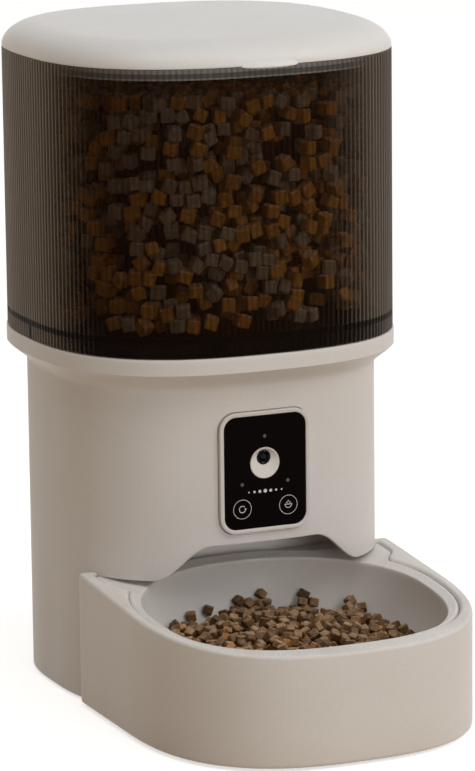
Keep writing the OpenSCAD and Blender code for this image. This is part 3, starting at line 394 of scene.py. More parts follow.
matt, satin = (0.44, 0.54), (0.3, 0.4)
paleDustAndTopLight = (242, 241, 240)
plasticLook = {  # light colour, dark colour, and what differs from an ordinary moulding
    "warmShell": ((217, 213, 209), (212, 207, 202), dict(rough=matt, gloss=0.3, dustAndTopLight=0.1)),
    # tray and bowl: the pale tone on their faces that look up is painted top light
    "trayShell": ((217, 212, 206), (212, 206, 199), dict(rough=matt, gloss=0.3, dustAndTopLight=1.0, dustAndTopLightTone=paleDustAndTopLight)),
    # the shell's plastic made paler for the niche: painted light where the niche lies in shade
    "paintedLightNiche": ((238, 235, 231), (234, 230, 225), dict(rough=matt, gloss=0.3)),
    "lidShell": ((226, 224, 221), (222, 219, 215), dict(rough=(0.38, 0.48), gloss=0.4, dustAndTopLight=0.08)),
    "bowlShell": ((218, 213, 208), (212, 207, 201),
                  dict(rough=(0.3, 0.42), grain=1800.0, bump=0.03, dustAndTopLight=0.8, dustAndTopLightTone=paleDustAndTopLight)),
    "trimWhite": ((222, 217, 210), (216, 211, 203), dict(rough=satin, grain=2200.0, bump=0.03)),
    "bezelTrim": ((211, 206, 200), (205, 200, 193), dict(rough=satin, grain=2200.0, bump=0.03)),
    "panelGloss": ((11, 4, 4), (8, 3, 3), dict(rough=(0.24, 0.36), grain=900.0, bump=0.01, gloss=0.02)),
    "darkMoulding": ((22, 17, 15), (16, 12, 11), dict(rough=(0.45, 0.6), bump=0.08, gloss=0.06)),
    "greyMoulding": ((128, 124, 120), (116, 112, 108), dict(rough=(0.42, 0.58), bump=0.08)),
    "paleGear": ((226, 221, 208), (218, 212, 197), dict(rough=(0.28, 0.38), bump=0.03)),
    "softRubber": ((48, 47, 46), (38, 37, 36), dict(rough=(0.7, 0.9), grain=2400.0, bump=0.15)),
    "softVane": ((150, 146, 138), (138, 134, 127), dict(rough=(0.5, 0.65))),
    "boardGreen": ((36, 92, 58), (26, 76, 46), dict(rough=(0.3, 0.45), grain=700.0, bump=0.12)),
    "lampClear": ((74, 71, 68), (56, 54, 52), dict(rough=(0.12, 0.2), bump=0.01)),
    "printWhite": ((226, 224, 220), (214, 211, 206), dict(rough=(0.5, 0.6), bump=0.02)),
    "lensGlass": ((10, 9, 11), (6, 6, 8), dict(rough=(0.08, 0.14), bump=0.0, gloss=0.12)),
}
finish = {name: plastic(name, light, dark, **more) for name, (light, dark, more) in plasticLook.items()}
finish["plainSteel"] = brushedMetal("plainSteel", (0.62, 0.62, 0.63, 1), (0.42, 0.42, 0.43, 1), (0.22, 0.4))
finish["smokyTank"] = smokedWall("smokyTank", named(smokeLook))
finish["kibbleBrown"] = kibbleCrust("kibbleBrown", named(crustLook))
print("finishes made", len(bpy.data.materials))


# camera and light

cameraLook = dict(
    place=(-0.8458, -1.9408, 0.6027), target=(0.0, 0.0129, 0.1615), roll=-0.68, lens=198.26, sensor=36.0,
    shift=(0.0091, -0.0077), farthest=20.0)
lightLook = dict(
    world=(0.04, 0.53), lean=(0.85, 0.0, 0.53), glow=0.62, warm=(1.0, 0.84, 0.66, 1),
    cool=(0.99, 0.98, 0.97, 1), bounce=(0.62, 0.49, 0.36, 1), floor=6.0, aim=(0, 0, 0.17),
    pale=((0.80, 0.80, 0.795, 1), (0.82, 0.82, 0.815, 1)))
lampLook = {  # place, size, power, colour
    "keyLamp": ((1.4, -1.5, 1.95), 1.1, 17.0, (0.985, 0.99, 1)),
    "topLamp": ((-0.9, -1.3, 4.6), 2.4, 43.0, (0.985, 0.99, 1)),
    "frontLamp": ((0.45, -2.6, 0.4), 1.0, 14.0, (0.965, 0.98, 1)),
    "fillLamp": ((-0.55, 0.35, 0.42), 0.4, 0.27, (1.0, 0.84, 0.66)),
}


def aimed(name, data, place, aim, upright, roll=0.0):
    # an object that looks from its place to its aim
    away = np.array(place, float) - np.array(aim, float)
    away /= np.linalg.norm(away)
    side = np.cross(upright, away)
    side /= np.linalg.norm(side)
    top = np.cross(away, side)
    c, s = math.cos(roll), math.sin(roll)
    turned = Matrix(np.column_stack([c * side + s * top, c * top - s * side, away]).tolist()).to_4x4()
    turned.translation = place
    holder = bpy.data.objects.new(name, data)
    holder.matrix_world = turned
    scene.collection.objects.link(holder)
    return holder


def buildCamera(look):
    camera = bpy.data.cameras.new("photoCamera")
    camera.sensor_fit, camera.sensor_height, camera.lens = "VERTICAL", look.sensor, look.lens
    camera.shift_x, camera.shift_y = look.shift
    camera.clip_end = look.farthest
    scene.camera = aimed("photoCamera", camera, look.place, look.target, [0, 0, 1.0], math.radians(look.roll))


def seenRays(tree):
    # 1 for what the camera sees, straight or in gloss and glass, 0 for light on its way
    path = addNode(tree, "LightPath").outputs
    return sums(tree, "MAXIMUM", path["Is Camera Ray"],
                sums(tree, "MAXIMUM", path["Is Glossy Ray"], path["Is Transmission Ray"]))


def joinShaders(tree, kind, first, second, **inputs):
    node = addNode(tree, kind, **inputs)
    shaders = [s for s in node.inputs if s.type == "SHADER"]
    plug(tree, shaders[0], first.outputs[0])
    plug(tree, shaders[1], second.outputs[0])
    return node


def buildWorld(look):
    world = bpy.data.worlds.new("studio")
    scene.world = world
    world.use_nodes = True
    tree = world.node_tree
    tree.nodes.clear()
    lean = addNode(tree, "VectorMath", {"operation": "DOT_PRODUCT"})
    plug(tree, lean.inputs[0], addNode(tree, "TexCoord").outputs["Generated"])
    plug(tree, lean.inputs[1], look.lean)
    side = lean.outputs["Value"]  # -1 on the side in shade, 1 on the lit side
    colour = blendColour(tree, spread(tree, side, -0.8, 0.6), look.warm, look.cool)
    soft = addNode(tree, "Background", Color=colour, Strength=spread(tree, side, -1.0, 1.0, *look.world))
    plain = addNode(tree, "Background", Color=(1, 1, 1, 1), Strength=1.0)
    pick = joinShaders(tree, "MixShader", soft, plain, Fac=seenRays(tree))
    addNode(tree, "OutputWorld", Surface=pick.outputs[0])


def buildFloor(look):
    mesh = bpy.data.meshes.new("floor")
    corners = [(x * look.floor, y * look.floor, 0) for x, y in ((-1, -1), (1, -1), (1, 1), (-1, 1))]
    mesh.from_pydata(corners, [], [(0, 1, 2, 3)])
    floor = bpy.data.objects.new("floor", mesh)
    scene.collection.objects.link(floor)
    material, tree, shader, vector = newMaterial("paleFloor", Roughness=0.9, Specular_IOR_Level=0.1)
    pale = blendColour(tree, noise(tree, vector, 3.0), *look.pale)
    # it looks pale, and gives back a warmer light than it shows
    seen = seenRays(tree)
    plug(tree, shader.inputs["Base Color"], blendColour(tree, seen, look.bounce, pale))
    glow = addNode(tree, "Emission", Color=(1, 1, 1, 1), Strength=sums(tree, "MULTIPLY", seen, look.glow))
    both = joinShaders(tree, "AddShader", shader, glow)
    # nothing to see of it from below, so that the underside shows
    behind = addNode(tree, "NewGeometry").outputs["Backfacing"]
    through = joinShaders(tree, "MixShader", both, addNode(tree, "BsdfTransparent"), Fac=behind)
    plug(tree, tree.nodes["Material Output"].inputs["Surface"], through.outputs[0])
    mesh.materials.append(material)


def buildLamps(lamps, aim):
    holders = {}
    for name, (place, size, power, colour) in lamps.items():
        lamp = bpy.data.lights.new(name, "AREA")
        lamp.shape, lamp.size, lamp.energy, lamp.color = "DISK", size, power, colour
        holders[name] = aimed(name, lamp, place, aim, [0, 0.02, 1.0])
    # no streaks in the tank
    holders["frontLamp"].visible_glossy = holders["fillLamp"].visible_glossy = False
    holders["fillLamp"].visible_camera = False


buildCamera(named(cameraLook))
buildWorld(named(lightLook))
buildFloor(named(lightLook))
buildLamps(lampLook, lightLook["aim"])
print("camera and light set")


# lid: one profile carried round the tank's outline, closed at the middle of the top and of the underside

tankShape = dict(halfX=95.0, halfY=93.6, power=2.6)
lidLook = dict(
    tankShape, base=329.6, edgeRun=20.5, edgeRise=13.2, dome=1.55, skirtOut=2.9, skirtIn=4.9,
    skirtEnd=323.6, roofRun=16.0, roofRise=10.7, tabHalf=15.2, tabDrop=1.3, tabRise=2.9, tabReach=1.9,
    sleeveR=(31.0, 29.2), sleeveZ=(11.5, -2.9))


def buildLid(lid):
    base, top, roofZ = lid.base, lid.base + lid.edgeRise, lid.base + lid.roofRise
    s = np.linspace(0.08, 0.97, 14)
    edgeIn, edgeUp = quarter(90, 3, 22).T
    roofIn, roofUp = quarter(0, 90, 12)[1:].T
    roofEdge = lid.skirtIn + 0.2
    # the dome, the rounded edge, the ledge, the skirt and the hollow above it
    inset = np.r_[[lid.edgeRun] * len(s), lid.edgeRun * edgeIn, 0.1, 0.45, 2.6, [lid.skirtOut] * 2, 3.2, 4.6,
                  [lid.skirtIn] * 2, roofEdge + lid.roofRun * roofIn, [roofEdge + lid.roofRun] * 2]
    height = np.r_[top + lid.dome * (1 - s ** 2), base + lid.edgeRise * edgeUp, base + 0.2, base, base,
                   base - 0.2, lid.skirtEnd + np.array([0.4, 0, 0, 0.4]), base,
                   base + lid.roofRise * roofUp, roofZ + 0.1, roofZ + 0.2]
    scale = np.r_[s, np.ones(len(inset) - len(s) - 2), 0.6, 0.2][:, None]
    x, y = shrunk(lid, inset[:, None], turn(300))
    rings = lay(x * scale, y * scale, height[:, None])
    shell = closedRings(rings, [0, 0, top + lid.dome], [0, 0, roofZ + 0.3])

    # finger tab: a wedge on the lid's edge, thickest near its lower lip, thinner to both ends and upwards;
    # below the lid its back stays clear of the tank
    u = np.linspace(-0.999, 0.999, 61)[:, None]
    wide = (1 - u ** 2) ** 0.45
    w = np.r_[0, 0.05, 0.12, np.linspace(0.2, 1, 12)]
    swell = np.r_[0.5, 0.8, 0.96, 1 - np.linspace(0, 1, 12) ** 1.25]
    x = lid.tabHalf * u + 0 * w
    z = base + (-lid.tabDrop + (lid.tabDrop + lid.tabRise) * w) * wide
    edgeY = -squircleEdge(x, lid.halfX, lid.halfY, lid.power)
    lean = lid.edgeRun * (1 - np.sqrt(1 - (np.maximum(z - base, 0) / lid.edgeRise) ** 2))
    outside = lay(x, edgeY + lean - lid.tabReach * wide * swell - 0.02, z)
    inside = lay(x, np.where(z < base, edgeY - 0.1 - 0.3 * wide, edgeY + lean + 0.6), z)
    section = np.concatenate([outside, inside[:, ::-1]], 1)
    tab = closedRings(section, section[0].mean(0), section[-1].mean(0))

    # sleeve under the lid that holds the drying box
    radii, levels = np.repeat(lid.sleeveR, 2)[:, None], base + np.array(lid.sleeveZ)[[0, 1, 1, 0], None]
    sleeve = closedTube(lay(radii * np.cos(turn(72)), radii * np.sin(turn(72)), levels))
    addPiece("lidShell", [shell, tab, sleeve], "lidShell", "lid", ["lid"])


# tank: a fluted wall; its outside steps in by one cosine wave for each flute

tankLook = dict(
    tankShape, low=184.6, high=329.5, wall=2.5, flutes=200, perFlute=8, fluteDepth=0.2, line=194.6,
    seamY=-3.0, seamHalf=1.2, shadeStart=-80.0, shadeRun=45.0, shadeEnd=69.6, litStart=30.0, litRun=50.0)


def buildTank(tank):
    count = tank.flutes * tank.perFlute
    fine = np.linspace(0, 2 * np.pi, 20001)  # a close first walk round the wall, to find even steps
    x, y = shrunk(tank, 0, fine)
    run = np.r_[0, np.cumsum(np.hypot(np.diff(x), np.diff(y)))]
    angles = np.interp(np.arange(count) / count * run[-1], run, fine)
    wave = 0.5 - 0.5 * np.cos(2 * np.pi * np.arange(count) / tank.perFlute)
    # the section runs from the inside over the rounded upper edge, down the outside and round the lower edge
    edge = np.array([0.5, 0, 0, 0.25, 0.8])
    over = np.array([tank.wall, tank.wall - 0.5, 0.7, 0.2, 0])
    rise = np.array([0, 0, 0.3, 0.8, 1])
    inset = np.r_[over, np.zeros(4), over[::-1]][:, None]
    share = np.r_[rise, np.ones(4), rise[::-1]][:, None]
    level = np.r_[tank.high - edge, tank.line + np.array([0.5, 0.0, -2.4, -2.9]), tank.low + edge[::-1]]
    x, y = shrunk(tank, inset + tank.fluteDepth * share * wave, angles)
    shell = closedTube(lay(x, y, level[:, None]))
    piece = addPiece("tankWall", [shell], "smokyTank", "hopper", ["hopper_tank"], 50)
    # dark where the funnel's edge lies against the wall, less so below it, and at the seam on each side
    touch = np.zeros(x.shape)
    footX, footY = x[8], y[8]
    deeper = 0.5 * ease((footX - tank.shadeStart) / tank.shadeRun)
    below = 0.4 + np.where((footY < 0) & (footX < tank.shadeEnd), deeper, 0)
    seam = np.abs(footY - tank.seamY) < tank.seamHalf
    touch[6:8] = 0.88 + 0.12 * wave
    touch[8:12] = np.where(seam, 1, below * (0.45 + 0.55 * wave))
    lit = ease((x - tank.litStart) / tank.litRun)  # painted shade: the streaks grow darker and wider towards the lit side
    addShade(piece, "grooveShade", share * (1 - (1 - wave ** (2 - 1.7 * lit)) * (1 - 0.6 * lit)))
    addShade(piece, "touchShade", touch)


# column: half sizes and roundness ease from the column to the collar; the lower front follows the arch

columnLook = dict(
    halfX=85.0, halfY=81.7, power=2.8, collarX=95.5, collarY=94.2, collarPower=2.6, foot=1.5, lobe=68.5,
    archRise=17.0, archFlat=29.0, archRun=29.0, cutY=-41.0, flareZ=165.8, flareH=10.6, top=184.5, wall=2.5,
    seatX=87.5, seatY=86.1, patchX=28.0, patchZ=(87.5, 157.0), holeZ=122.2, holeW=50.2, holeH=63.2,
    holeR=9.1, socket=(5.1, 47.5, 52.0), slotPitch=4.4, slotHalf=0.8, slotTall=10.0, slotLess=1.5,
    speakerZ=100.1, rearY=60, bendX=(30, 60), bandZ=(160.5, 164.0), edge=0.3, archEdge=1.1)


def wallY(column, x):
    # how far the column's wall stands from its axis, over x
    return squircleEdge(x, column.halfX, column.halfY, column.power)


def fromFront(angles):
    # the same directions, counted from the front round by the right side
    return np.mod(angles + np.pi / 2, 2 * np.pi) - np.pi / 2


def roundedReach(width, height, radius, c, s):
    # distance from the middle of a rounded rectangle to its edge along (c, s): a side, or the corner's circle
    a, b, c, s = width / 2, height / 2, np.abs(c), np.abs(s)
    straight = np.minimum(a / np.maximum(c, 1e-9), b / np.maximum(s, 1e-9))
    along = c * (a - radius) + s * (b - radius)
    square = along ** 2 - (a - radius) ** 2 - (b - radius) ** 2 + radius ** 2
    corner = (straight * c > a - radius) & (straight * s > b - radius)
    return np.where(corner, along + np.sqrt(np.maximum(square, 0)), straight)


def columnAngles(column):
    # columns of the grid: even steps, plus every upright edge of an opening
    slot = np.arange(-2, 3) * column.slotPitch
    rearX = np.r_[slot - column.slotHalf, slot + column.slotHalf, -column.socket[0], column.socket[0]]
    bendX = np.linspace(*column.bendX, 16)  # where the arch bends
    frontX = np.r_[-bendX, np.linspace(-1, 1, 41) * column.patchX, bendX]
    cut = math.atan2(column.cutY, squircleEdge(column.cutY, column.halfY, column.halfX, column.power))
    special = fromFront(np.r_[np.arctan2(-wallY(column, frontX), frontX),
                              np.arctan2(wallY(column, rearX), rearX), cut, np.pi - cut])
    plain = fromFront(turn(200))
    front = (np.abs(plain + np.pi / 2) < 0.65) | (np.abs(plain - 1.5 * np.pi) < 0.65)
    clear = np.abs(plain[:, None] - special).min(1) > 0.01
    return np.unique(np.round(np.r_[special, plain[clear & ~front]], 7)), cut


def softenEdges(piece, column):
    # open edges are rounded: the arch most, the rest a little
    mesh = piece.data
    ends, used = np.zeros(2 * len(mesh.edges), int), np.zeros(len(mesh.loops), int)
    places = np.zeros(3 * len(mesh.vertices))
    mesh.edges.foreach_get("vertices", ends)
    mesh.loops.foreach_get("edge_index", used)
    mesh.vertices.foreach_get("co", places)
    middle = places.reshape(-1, 3)[ends.reshape(-1, 2)].mean(1) / mm
    arch = (middle[:, 1] - axisY < column.cutY - 0.5) & (middle[:, 2] < column.patchZ[0] - 1)
    weight = np.where(arch, 1.0, column.edge / column.archEdge)
    weight *= np.bincount(used, minlength=len(mesh.edges)) == 1
    weights = mesh.attributes.new("bevel_weight_edge", "FLOAT", "EDGE")
    weights.data.foreach_set("value", weight.astype(np.float32))
    thick = piece.modifiers.new("wall", "SOLIDIFY")
    thick.thickness, thick.offset, thick.use_even_offset = column.wall * mm, -1.0, True
    soft = piece.modifiers.new("softEdges", "BEVEL")
    soft.width, soft.segments, soft.limit_method = column.archEdge * mm, 3, "WEIGHT"


def buildColumn(column):
    angles, cut = columnAngles(column)
    slotZ = column.slotTall - column.slotLess * np.arange(3)
    slotZ = column.speakerZ + np.r_[-slotZ, slotZ]
    level = np.linspace(*column.patchZ, 49)
    level = level[np.abs(level[:, None] - slotZ).min(1) > 0.5]
    level = np.sort(np.r_[level, slotZ, column.bandZ])[::-1]
    lower = 2  # rows between the last level one and the arch
    t = np.linspace(1, 0, 15)
    flare = 0.5 * t ** 2 + 0.5 * ease(t)  # leaves the column smoothly and meets the band at an edge
    rim = np.array([3, 0.7, 0.2, 0, 0, 0])
    mix = np.r_[np.ones(7), flare, np.zeros(len(level) + lower)]
    halfX = column.halfX + (column.collarX - column.halfX) * mix
    halfY = column.halfY + (column.collarY - column.halfY) * mix
    halfX[:7] = np.r_[column.seatX, column.collarX - rim]
    halfY[:7] = np.r_[column.seatY, column.collarY - rim]
    power = column.power + (column.collarPower - column.power) * mix
    drop = np.array([0, 0, 0, 0.2, 0.7, 2.5, 6.7])
    fixedZ = np.r_[column.top - drop, column.flareZ + column.flareH * t, level]
    x, y = squircle(halfX[:, None], halfY[:, None], power[:, None], angles)

    # below the last level row the wall ends at the arch in front, and at the lobe's height elsewhere
    footX, footY = x[-1], y[-1]
    arch = ease((column.archFlat + column.archRun - np.abs(footX)) / column.archRun)
    low = column.lobe + np.where(footY < column.cutY - 0.01, column.archRise * arch, 0)
    fall = np.linspace(0, 1, lower + 1)[1:, None]
    z = np.vstack([np.repeat(fixedZ[:, None], len(angles), 1), level[-1] + (low - level[-1]) * fall])
    points, quads = lay(x, y, z).reshape(-1, 3), gridFaces(*z.shape)

    # behind the arch the wall goes on round the sides and the back, down to the foot
    rear = np.where((angles > cut - 1e-6) & (angles < np.pi - cut + 1e-6))[0]
    socketX, socketLow, socketHigh = column.socket
    lowZ = np.array([column.lobe, 60, socketHigh, socketLow, 36, 18, column.foot + 1, column.foot])
    quads = np.vstack([quads, gridFaces(len(lowZ), len(rear), False) + len(points)])
    points = np.vstack([points, lay(footX[rear], footY[rear], lowZ[:, None]).reshape(-1, 3)])

    # openings: a patch in front that takes the bezel, the socket hole and the slots of the speaker
    mx, my, mz = points[quads].mean(1).T
    patchLow, patchHigh = column.patchZ
    hole = (my < 0) & (np.abs(mx) < column.patchX) & (mz > patchLow) & (mz < patchHigh)
    hole |= (my > column.rearY) & (np.abs(mx) < socketX) & (mz > socketLow) & (mz < socketHigh)
    nearest = np.clip(np.round(mx / column.slotPitch), -2, 2)
    tall = column.slotTall - column.slotLess * np.abs(nearest)
    beside = np.abs(mx - column.slotPitch * nearest) < column.slotHalf
    hole |= (my > column.rearY) & beside & (np.abs(mz - column.speakerZ) < tall)
    quads = quads[~hole]

    # loops that shrink from the patch's border to the rounded hole, laid on the wall
    across = np.where((footY < 0) & (np.abs(footX) < column.patchX + 0.01))[0]
    across = across[np.argsort(footX[across])]
    down = np.where((fixedZ < patchHigh + 0.01) & (fixedZ > patchLow - 0.01))[0] * len(angles)
    border = np.r_[down[-1] + across[:-1], down[:0:-1] + across[-1],
                   down[0] + across[:0:-1], down[:-1] + across[0]]
    bx, bz = points[border, 0], points[border, 2] - column.holeZ
    reach = np.hypot(bx, bz)
    edge = roundedReach(column.holeW, column.holeH, column.holeR, bx / reach, bz / reach) / reach
    grow = 1 + (edge - 1) * np.array([0.4, 0.8, 1.0])[:, None]
    loops = lay(bx * grow, -wallY(column, bx * grow), bz * grow + column.holeZ)
    rows = np.vstack([border, len(points) + np.arange(3 * len(border)).reshape(3, -1)])
    after = np.roll(rows, -1, 1)
    patch = np.stack([rows[:-1], after[:-1], after[1:], rows[1:]], -1).reshape(-1, 4)
    shell = np.vstack([points, loops.reshape(-1, 3)]), np.vstack([quads, patch]), noFans

    piece = addPiece("columnShell", [shell], "warmShell", "base", ["housing"], 40, False)
    bm = bmesh.new()
    bm.from_mesh(piece.data)
    bmesh.ops.remove_doubles(bm, verts=bm.verts, dist=1e-6)
    bmesh.ops.delete(bm, geom=[v for v in bm.verts if not v.link_faces], context="VERTS")
    bm.to_mesh(piece.data)
    bm.free()
    softenEdges(piece, column)


buildLid(named(lidLook))
buildTank(named(tankLook))
buildColumn(named(columnLook))
print("lid, tank and column built")


# panel: bezel ring, camera dish, lens, buttons and their printed marks

panelLook = dict(
    z=122.2, bezelW=49.6, bezelH=62.6, bezelR=8.8, bezelFace=-83.1, panelFace=-82.6, rim=2.2, edge=0.5,
    margin=0.9, seat=-80.4, cameraZ=126.5, dishR=8.1, dishDepth=1.6, lensR=3.8, lensRise=2.6, buttonX=12.7,
    buttonZ=103.6, capR=5.2, capEnd=-78.8)


def buildPanel(panel):
    path, normals = roundedLoop(panel.bezelW, panel.bezelH, panel.bezelR)
    face, front, soft = panel.bezelFace, panel.panelFace, panel.edge
    # section of the bezel, from the back of its outside over the rounded face to the panel
    inner, (run, rise) = -panel.rim - 0.05, quarter(0, 90, 6).T
    offsets = np.r_[0, -soft * run, inner + soft * (1 - rise[1:]), inner]
    depths = np.r_[panel.seat, face + soft * (1 - rise), face + soft * run[1:], panel.seat]
    bezel = sweptLoop(path, normals, panel.z, offsets, depths)
    addPiece("bezelRing", [bezel], "bezelTrim", "base", ["panel_bezel"])
    # black margin that closes the step between the plate and the bezel
    offsets = inner - panel.margin * np.array([0, 0, 1, 1])
    margin = sweptLoop(path, normals, panel.z, offsets, front + np.array([1.2, -0.01, -0.01, 1.2]))
    addPiece("panelMargin", [margin], "panelGloss", "base")

    # dish: circles that shrink and climb from the panel's hole to the lens, closed behind
    t, wide = np.linspace(0, 1, 9), panel.dishR - 0.7
    radii = np.r_[panel.dishR, panel.dishR, panel.dishR - 0.25, wide - (wide - panel.lensR) * t, panel.lensR]
    rise = np.r_[0, 0, 0, panel.lensRise * t, panel.lensRise]
    depth = front + np.r_[4.2, 0.25, 0, 0.05 + panel.dishDepth * t, 4.2]
    angles, radii = turn(64), radii[:, None]
    dish = lay(radii * np.cos(angles), depth[:, None], panel.cameraZ + rise[:, None] + radii * np.sin(angles))
    addPiece("cameraDish", [closedTube(dish)], "trimWhite", "base", ["camera_dish"])

    # lens: a dome in a stepped ring
    a, lensY = sweep(90, 0, 8)[1:], front + panel.dishDepth + 1.9
    radii = np.r_[0, 2.1 * np.cos(a), 2.3, 2.5, 3.1, panel.lensR - 0.1, panel.lensR - 0.1, 0]
    depth = lensY + np.r_[-1.9, -0.9 - np.sin(a), -1.0, -1.9, -2.3, -2.0, 0, 0]
    lens = spun(radii, depth, (0, 0, panel.cameraZ + panel.lensRise))
    addPiece("cameraLens", [lens], "lensGlass", "base", ["camera_lens"])

    # caps: a shallow dished face, a rounded edge and a collar behind the panel
    r, end = panel.capR, panel.capEnd
    radii = [0, r * 0.5, r - 0.9, r - 0.45, r - 0.1, r, r, r + 0.9, r + 0.9, 0]
    depth = np.r_[front + np.array([0.12, 0.1, 0.02, 0, 0.08, 0.3]), end - 1.2, end - 1.2, end, end]
    for name, side, body in (("resetCap", -1, "reset_button"), ("feedCap", 1, "feed_button")):
        cap = spun(radii, depth, (side * panel.buttonX, 0, panel.buttonZ), 64)
        addPiece(name, [cap], "panelGloss", body, [body])


inkHalf = 0.03  # half of the thickness of a printed mark


def arcBand(centre, radius, width, start, stop, count, y):
    # thin printed band: a flat section of four corners carried round an arc, closed on itself or at its ends
    whole = stop - start >= 360
    a = np.radians(np.linspace(start, stop, count, endpoint=not whole))
    r = radius + width * np.array([[0.5], [0.5], [-0.5], [-0.5]])
    d = y + inkHalf * np.array([[1], [-1], [-1], [1]])
    points = lay(centre[0] + r * np.cos(a), d, centre[1] + r * np.sin(a)).reshape(-1, 3)
    quads = gridFaces(4, count, whole, True)
    if not whole:
        ends = np.arange(4) * count
        quads = np.vstack([quads, ends, ends[::-1] + count - 1])
    return points, quads, noFans


def printedDot(x, z, radius, y, count=20):
    # thin disc, or with three corners the head of an arrow
    return spun([0, radius, radius, 0], y + inkHalf * np.array([-1, -1, 1, 1]), (x, 0, z), count)


markLook = dict(
    ring=4.9, line=0.24, stroke=0.34, arrowR=1.7, headR=0.62, bowlR=1.8, crumbR=0.34, dots=7, dotPitch=3.0,
    dotR=0.95, dotZ=112.0)


def buildMarks(mark, panel):
    x, y, z = panel.buttonX, panel.panelFace - 0.01, panel.buttonZ
    # left button: an arc that turns back on itself, with a small head; right one: a bowl under three crumbs
    reset = [arcBand((-x, z), mark.ring, mark.line, 0, 360, 72, y),
             arcBand((-x, z), mark.arrowR, mark.stroke, 40, 345, 40, y),
             printedDot(mark.arrowR - x, z + 0.05, mark.headR, y, 3)]
    feed = [arcBand((x, z), mark.ring, mark.line, 0, 360, 72, y),
            arcBand((x, z + 0.2), mark.bowlR, mark.stroke, 180, 360, 30, y),
            arcBand((x, z + 60.2), 60.0, mark.stroke, 268.0, 272.0, 9, y)]
    feed += [printedDot(x + dx, z + dz, mark.crumbR, y) for dx, dz in ((-0.85, 1.15), (0.85, 1.15), (0, 1.9))]
    addPiece("resetMark", reset, "printWhite", "reset_button")
    addPiece("feedMark", feed, "printWhite", "feed_button")
    # row of dots on the panel, largest in the middle
    steps = np.arange(mark.dots) - (mark.dots - 1) / 2
    row = [printedDot(k * mark.dotPitch, mark.dotZ, mark.dotR * (1 - 0.18 * abs(k)), y) for k in steps]
    addPiece("panelDots", row, "printWhite", "base")


buildPanel(named(panelLook))
buildMarks(named(markLook), named(panelLook))
print("panel built")


# tray: rings about the bowl's middle, from the underside up the wall, over the rim and down into the pocket;
# the flange and the opening are given by half width, reach to the front and reach to the rear

trayLook = dict(
    half=86.8, reach=200.05, bend=103.8, power=2.62, rear=42.5, tongueHalf=74.0, tongueRear=29.5,
    cornerR=2.0, foot=1.5, floor=4.0, ahead=111.0, rimMid=64.5, slope=4.57, edge=1.8, stepX=80.9,
    underColumn=66.9, flange=(80.6, 77.6, 74.0), opening=(74.8, 73.8, 66.5), frontPower=2.65,
    rearPower=2.1, earHalf=79.8, earBack=64.2, earStart=25.5, earRun=5.5, earSoft=10, sink=1.0, dip=1.6,
    flangeLow=4.3, gap=0.1, recessEdge=2.2, pocketGap=3.0)


def rimPlane(tray, y):
    # height of the sloping rim: its height at the bowl's middle, plus the slope times the way from there
    return tray.rimMid + math.tan(math.radians(tray.slope)) * (y + tray.ahead)


def onRim(tray, x, y, z):
    # local place on the sloping rim, turned about the line through the bowl's middle
    c, s = math.cos(math.radians(tray.slope)), math.sin(math.radians(tray.slope))
    return x, y * c - z * s - tray.ahead, tray.rimMid + y * s + z * c


def trayReach(tray, inset, angles):
    # distance from the bowl's middle to the tray's outline, for each direction
    half, tongue, r = tray.half - inset, tray.tongueHalf - inset, tray.cornerR
    rear, back = -tray.rear - inset, -tray.tongueRear - inset
    x, y = squircle(half, tray.reach - tray.bend - inset, tray.power, np.linspace(-np.pi, 0, 241))
    # the right side: back along the wall, round the corner, in to the tongue and across its end
    corner = sweep(0, 90, 7)
    sideX = np.r_[np.full(30, half), half - r + r * np.cos(corner), np.linspace(half - r, tongue, 6)[1:],
                  np.full(6, tongue), np.linspace(tongue, 0, 40)[1:]]
    sideY = np.r_[np.linspace(-tray.bend, rear - r, 31)[1:], rear - r + r * np.sin(corner), np.full(5, rear),
                  np.linspace(rear, back, 7)[1:], np.full(39, back)]
    x, y = np.r_[x, sideX, -sideX[::-1]], np.r_[y - tray.bend, sideY, sideY[::-1]] + tray.ahead
    phi, reach = np.unwrap(np.arctan2(y, x)), np.hypot(x, y)
    phi, reach = np.append(phi, phi[0] + 2 * np.pi), np.append(reach, reach[0])
    order = np.argsort(phi, kind="stable")
    return np.interp(np.mod(angles - phi.min(), 2 * np.pi) + phi.min(), phi[order], reach[order])


def bluntLoop(tray, sizes, grow, angles):
    # outline about the bowl's middle: a blunt half in front, a shorter and rounder half behind
    halfX, front, rear = sizes
    ahead = np.sin(angles) < 0
    power = np.where(ahead, tray.frontPower, tray.rearPower)
    return squircle(halfX + grow, np.where(ahead, front, rear) + grow, power, angles)


def flangeReach(tray, grow, angles):
    # the flange's outline with its two finger ears, as a distance for each direction, softened a little
    phi, soft = turn(1440), tray.earSoft
    plain = np.hypot(*bluntLoop(tray, tray.flange, grow, phi))
    c, s = np.abs(np.cos(phi)), np.sin(phi)
    ear = np.minimum((tray.earHalf + grow) / np.maximum(c, 1e-6), (tray.earBack + grow) / np.maximum(s, 1e-6))
    lift = ease((np.degrees(np.arctan2(s, c)) - tray.earStart) / tray.earRun)
    reach = np.maximum(plain, plain + (ear - plain) * lift)
    window = np.hanning(2 * soft + 1)
    reach = np.convolve(np.r_[reach[-soft:], reach, reach[:soft]], window / window.sum(), "valid")
    return np.interp(np.mod(angles, 2 * np.pi), np.append(phi, 2 * np.pi), np.append(reach, reach[0]))


def trayAngles(tray):
    # even steps, plus the corners beside the tongue, the ears and the step where the column begins
    rear, tongue = tray.ahead - tray.rear, tray.ahead - tray.tongueRear
    step = math.atan2(rear, tray.stepX)
    corners = np.arctan2([rear, rear, tongue], [tray.half, tray.tongueHalf, tray.tongueHalf])
    extra = np.r_[corners, step, step + 0.004, sweep(24, 44, 41)]
    return np.unique(np.round(np.r_[turn(360), extra, np.pi - extra], 6)), step


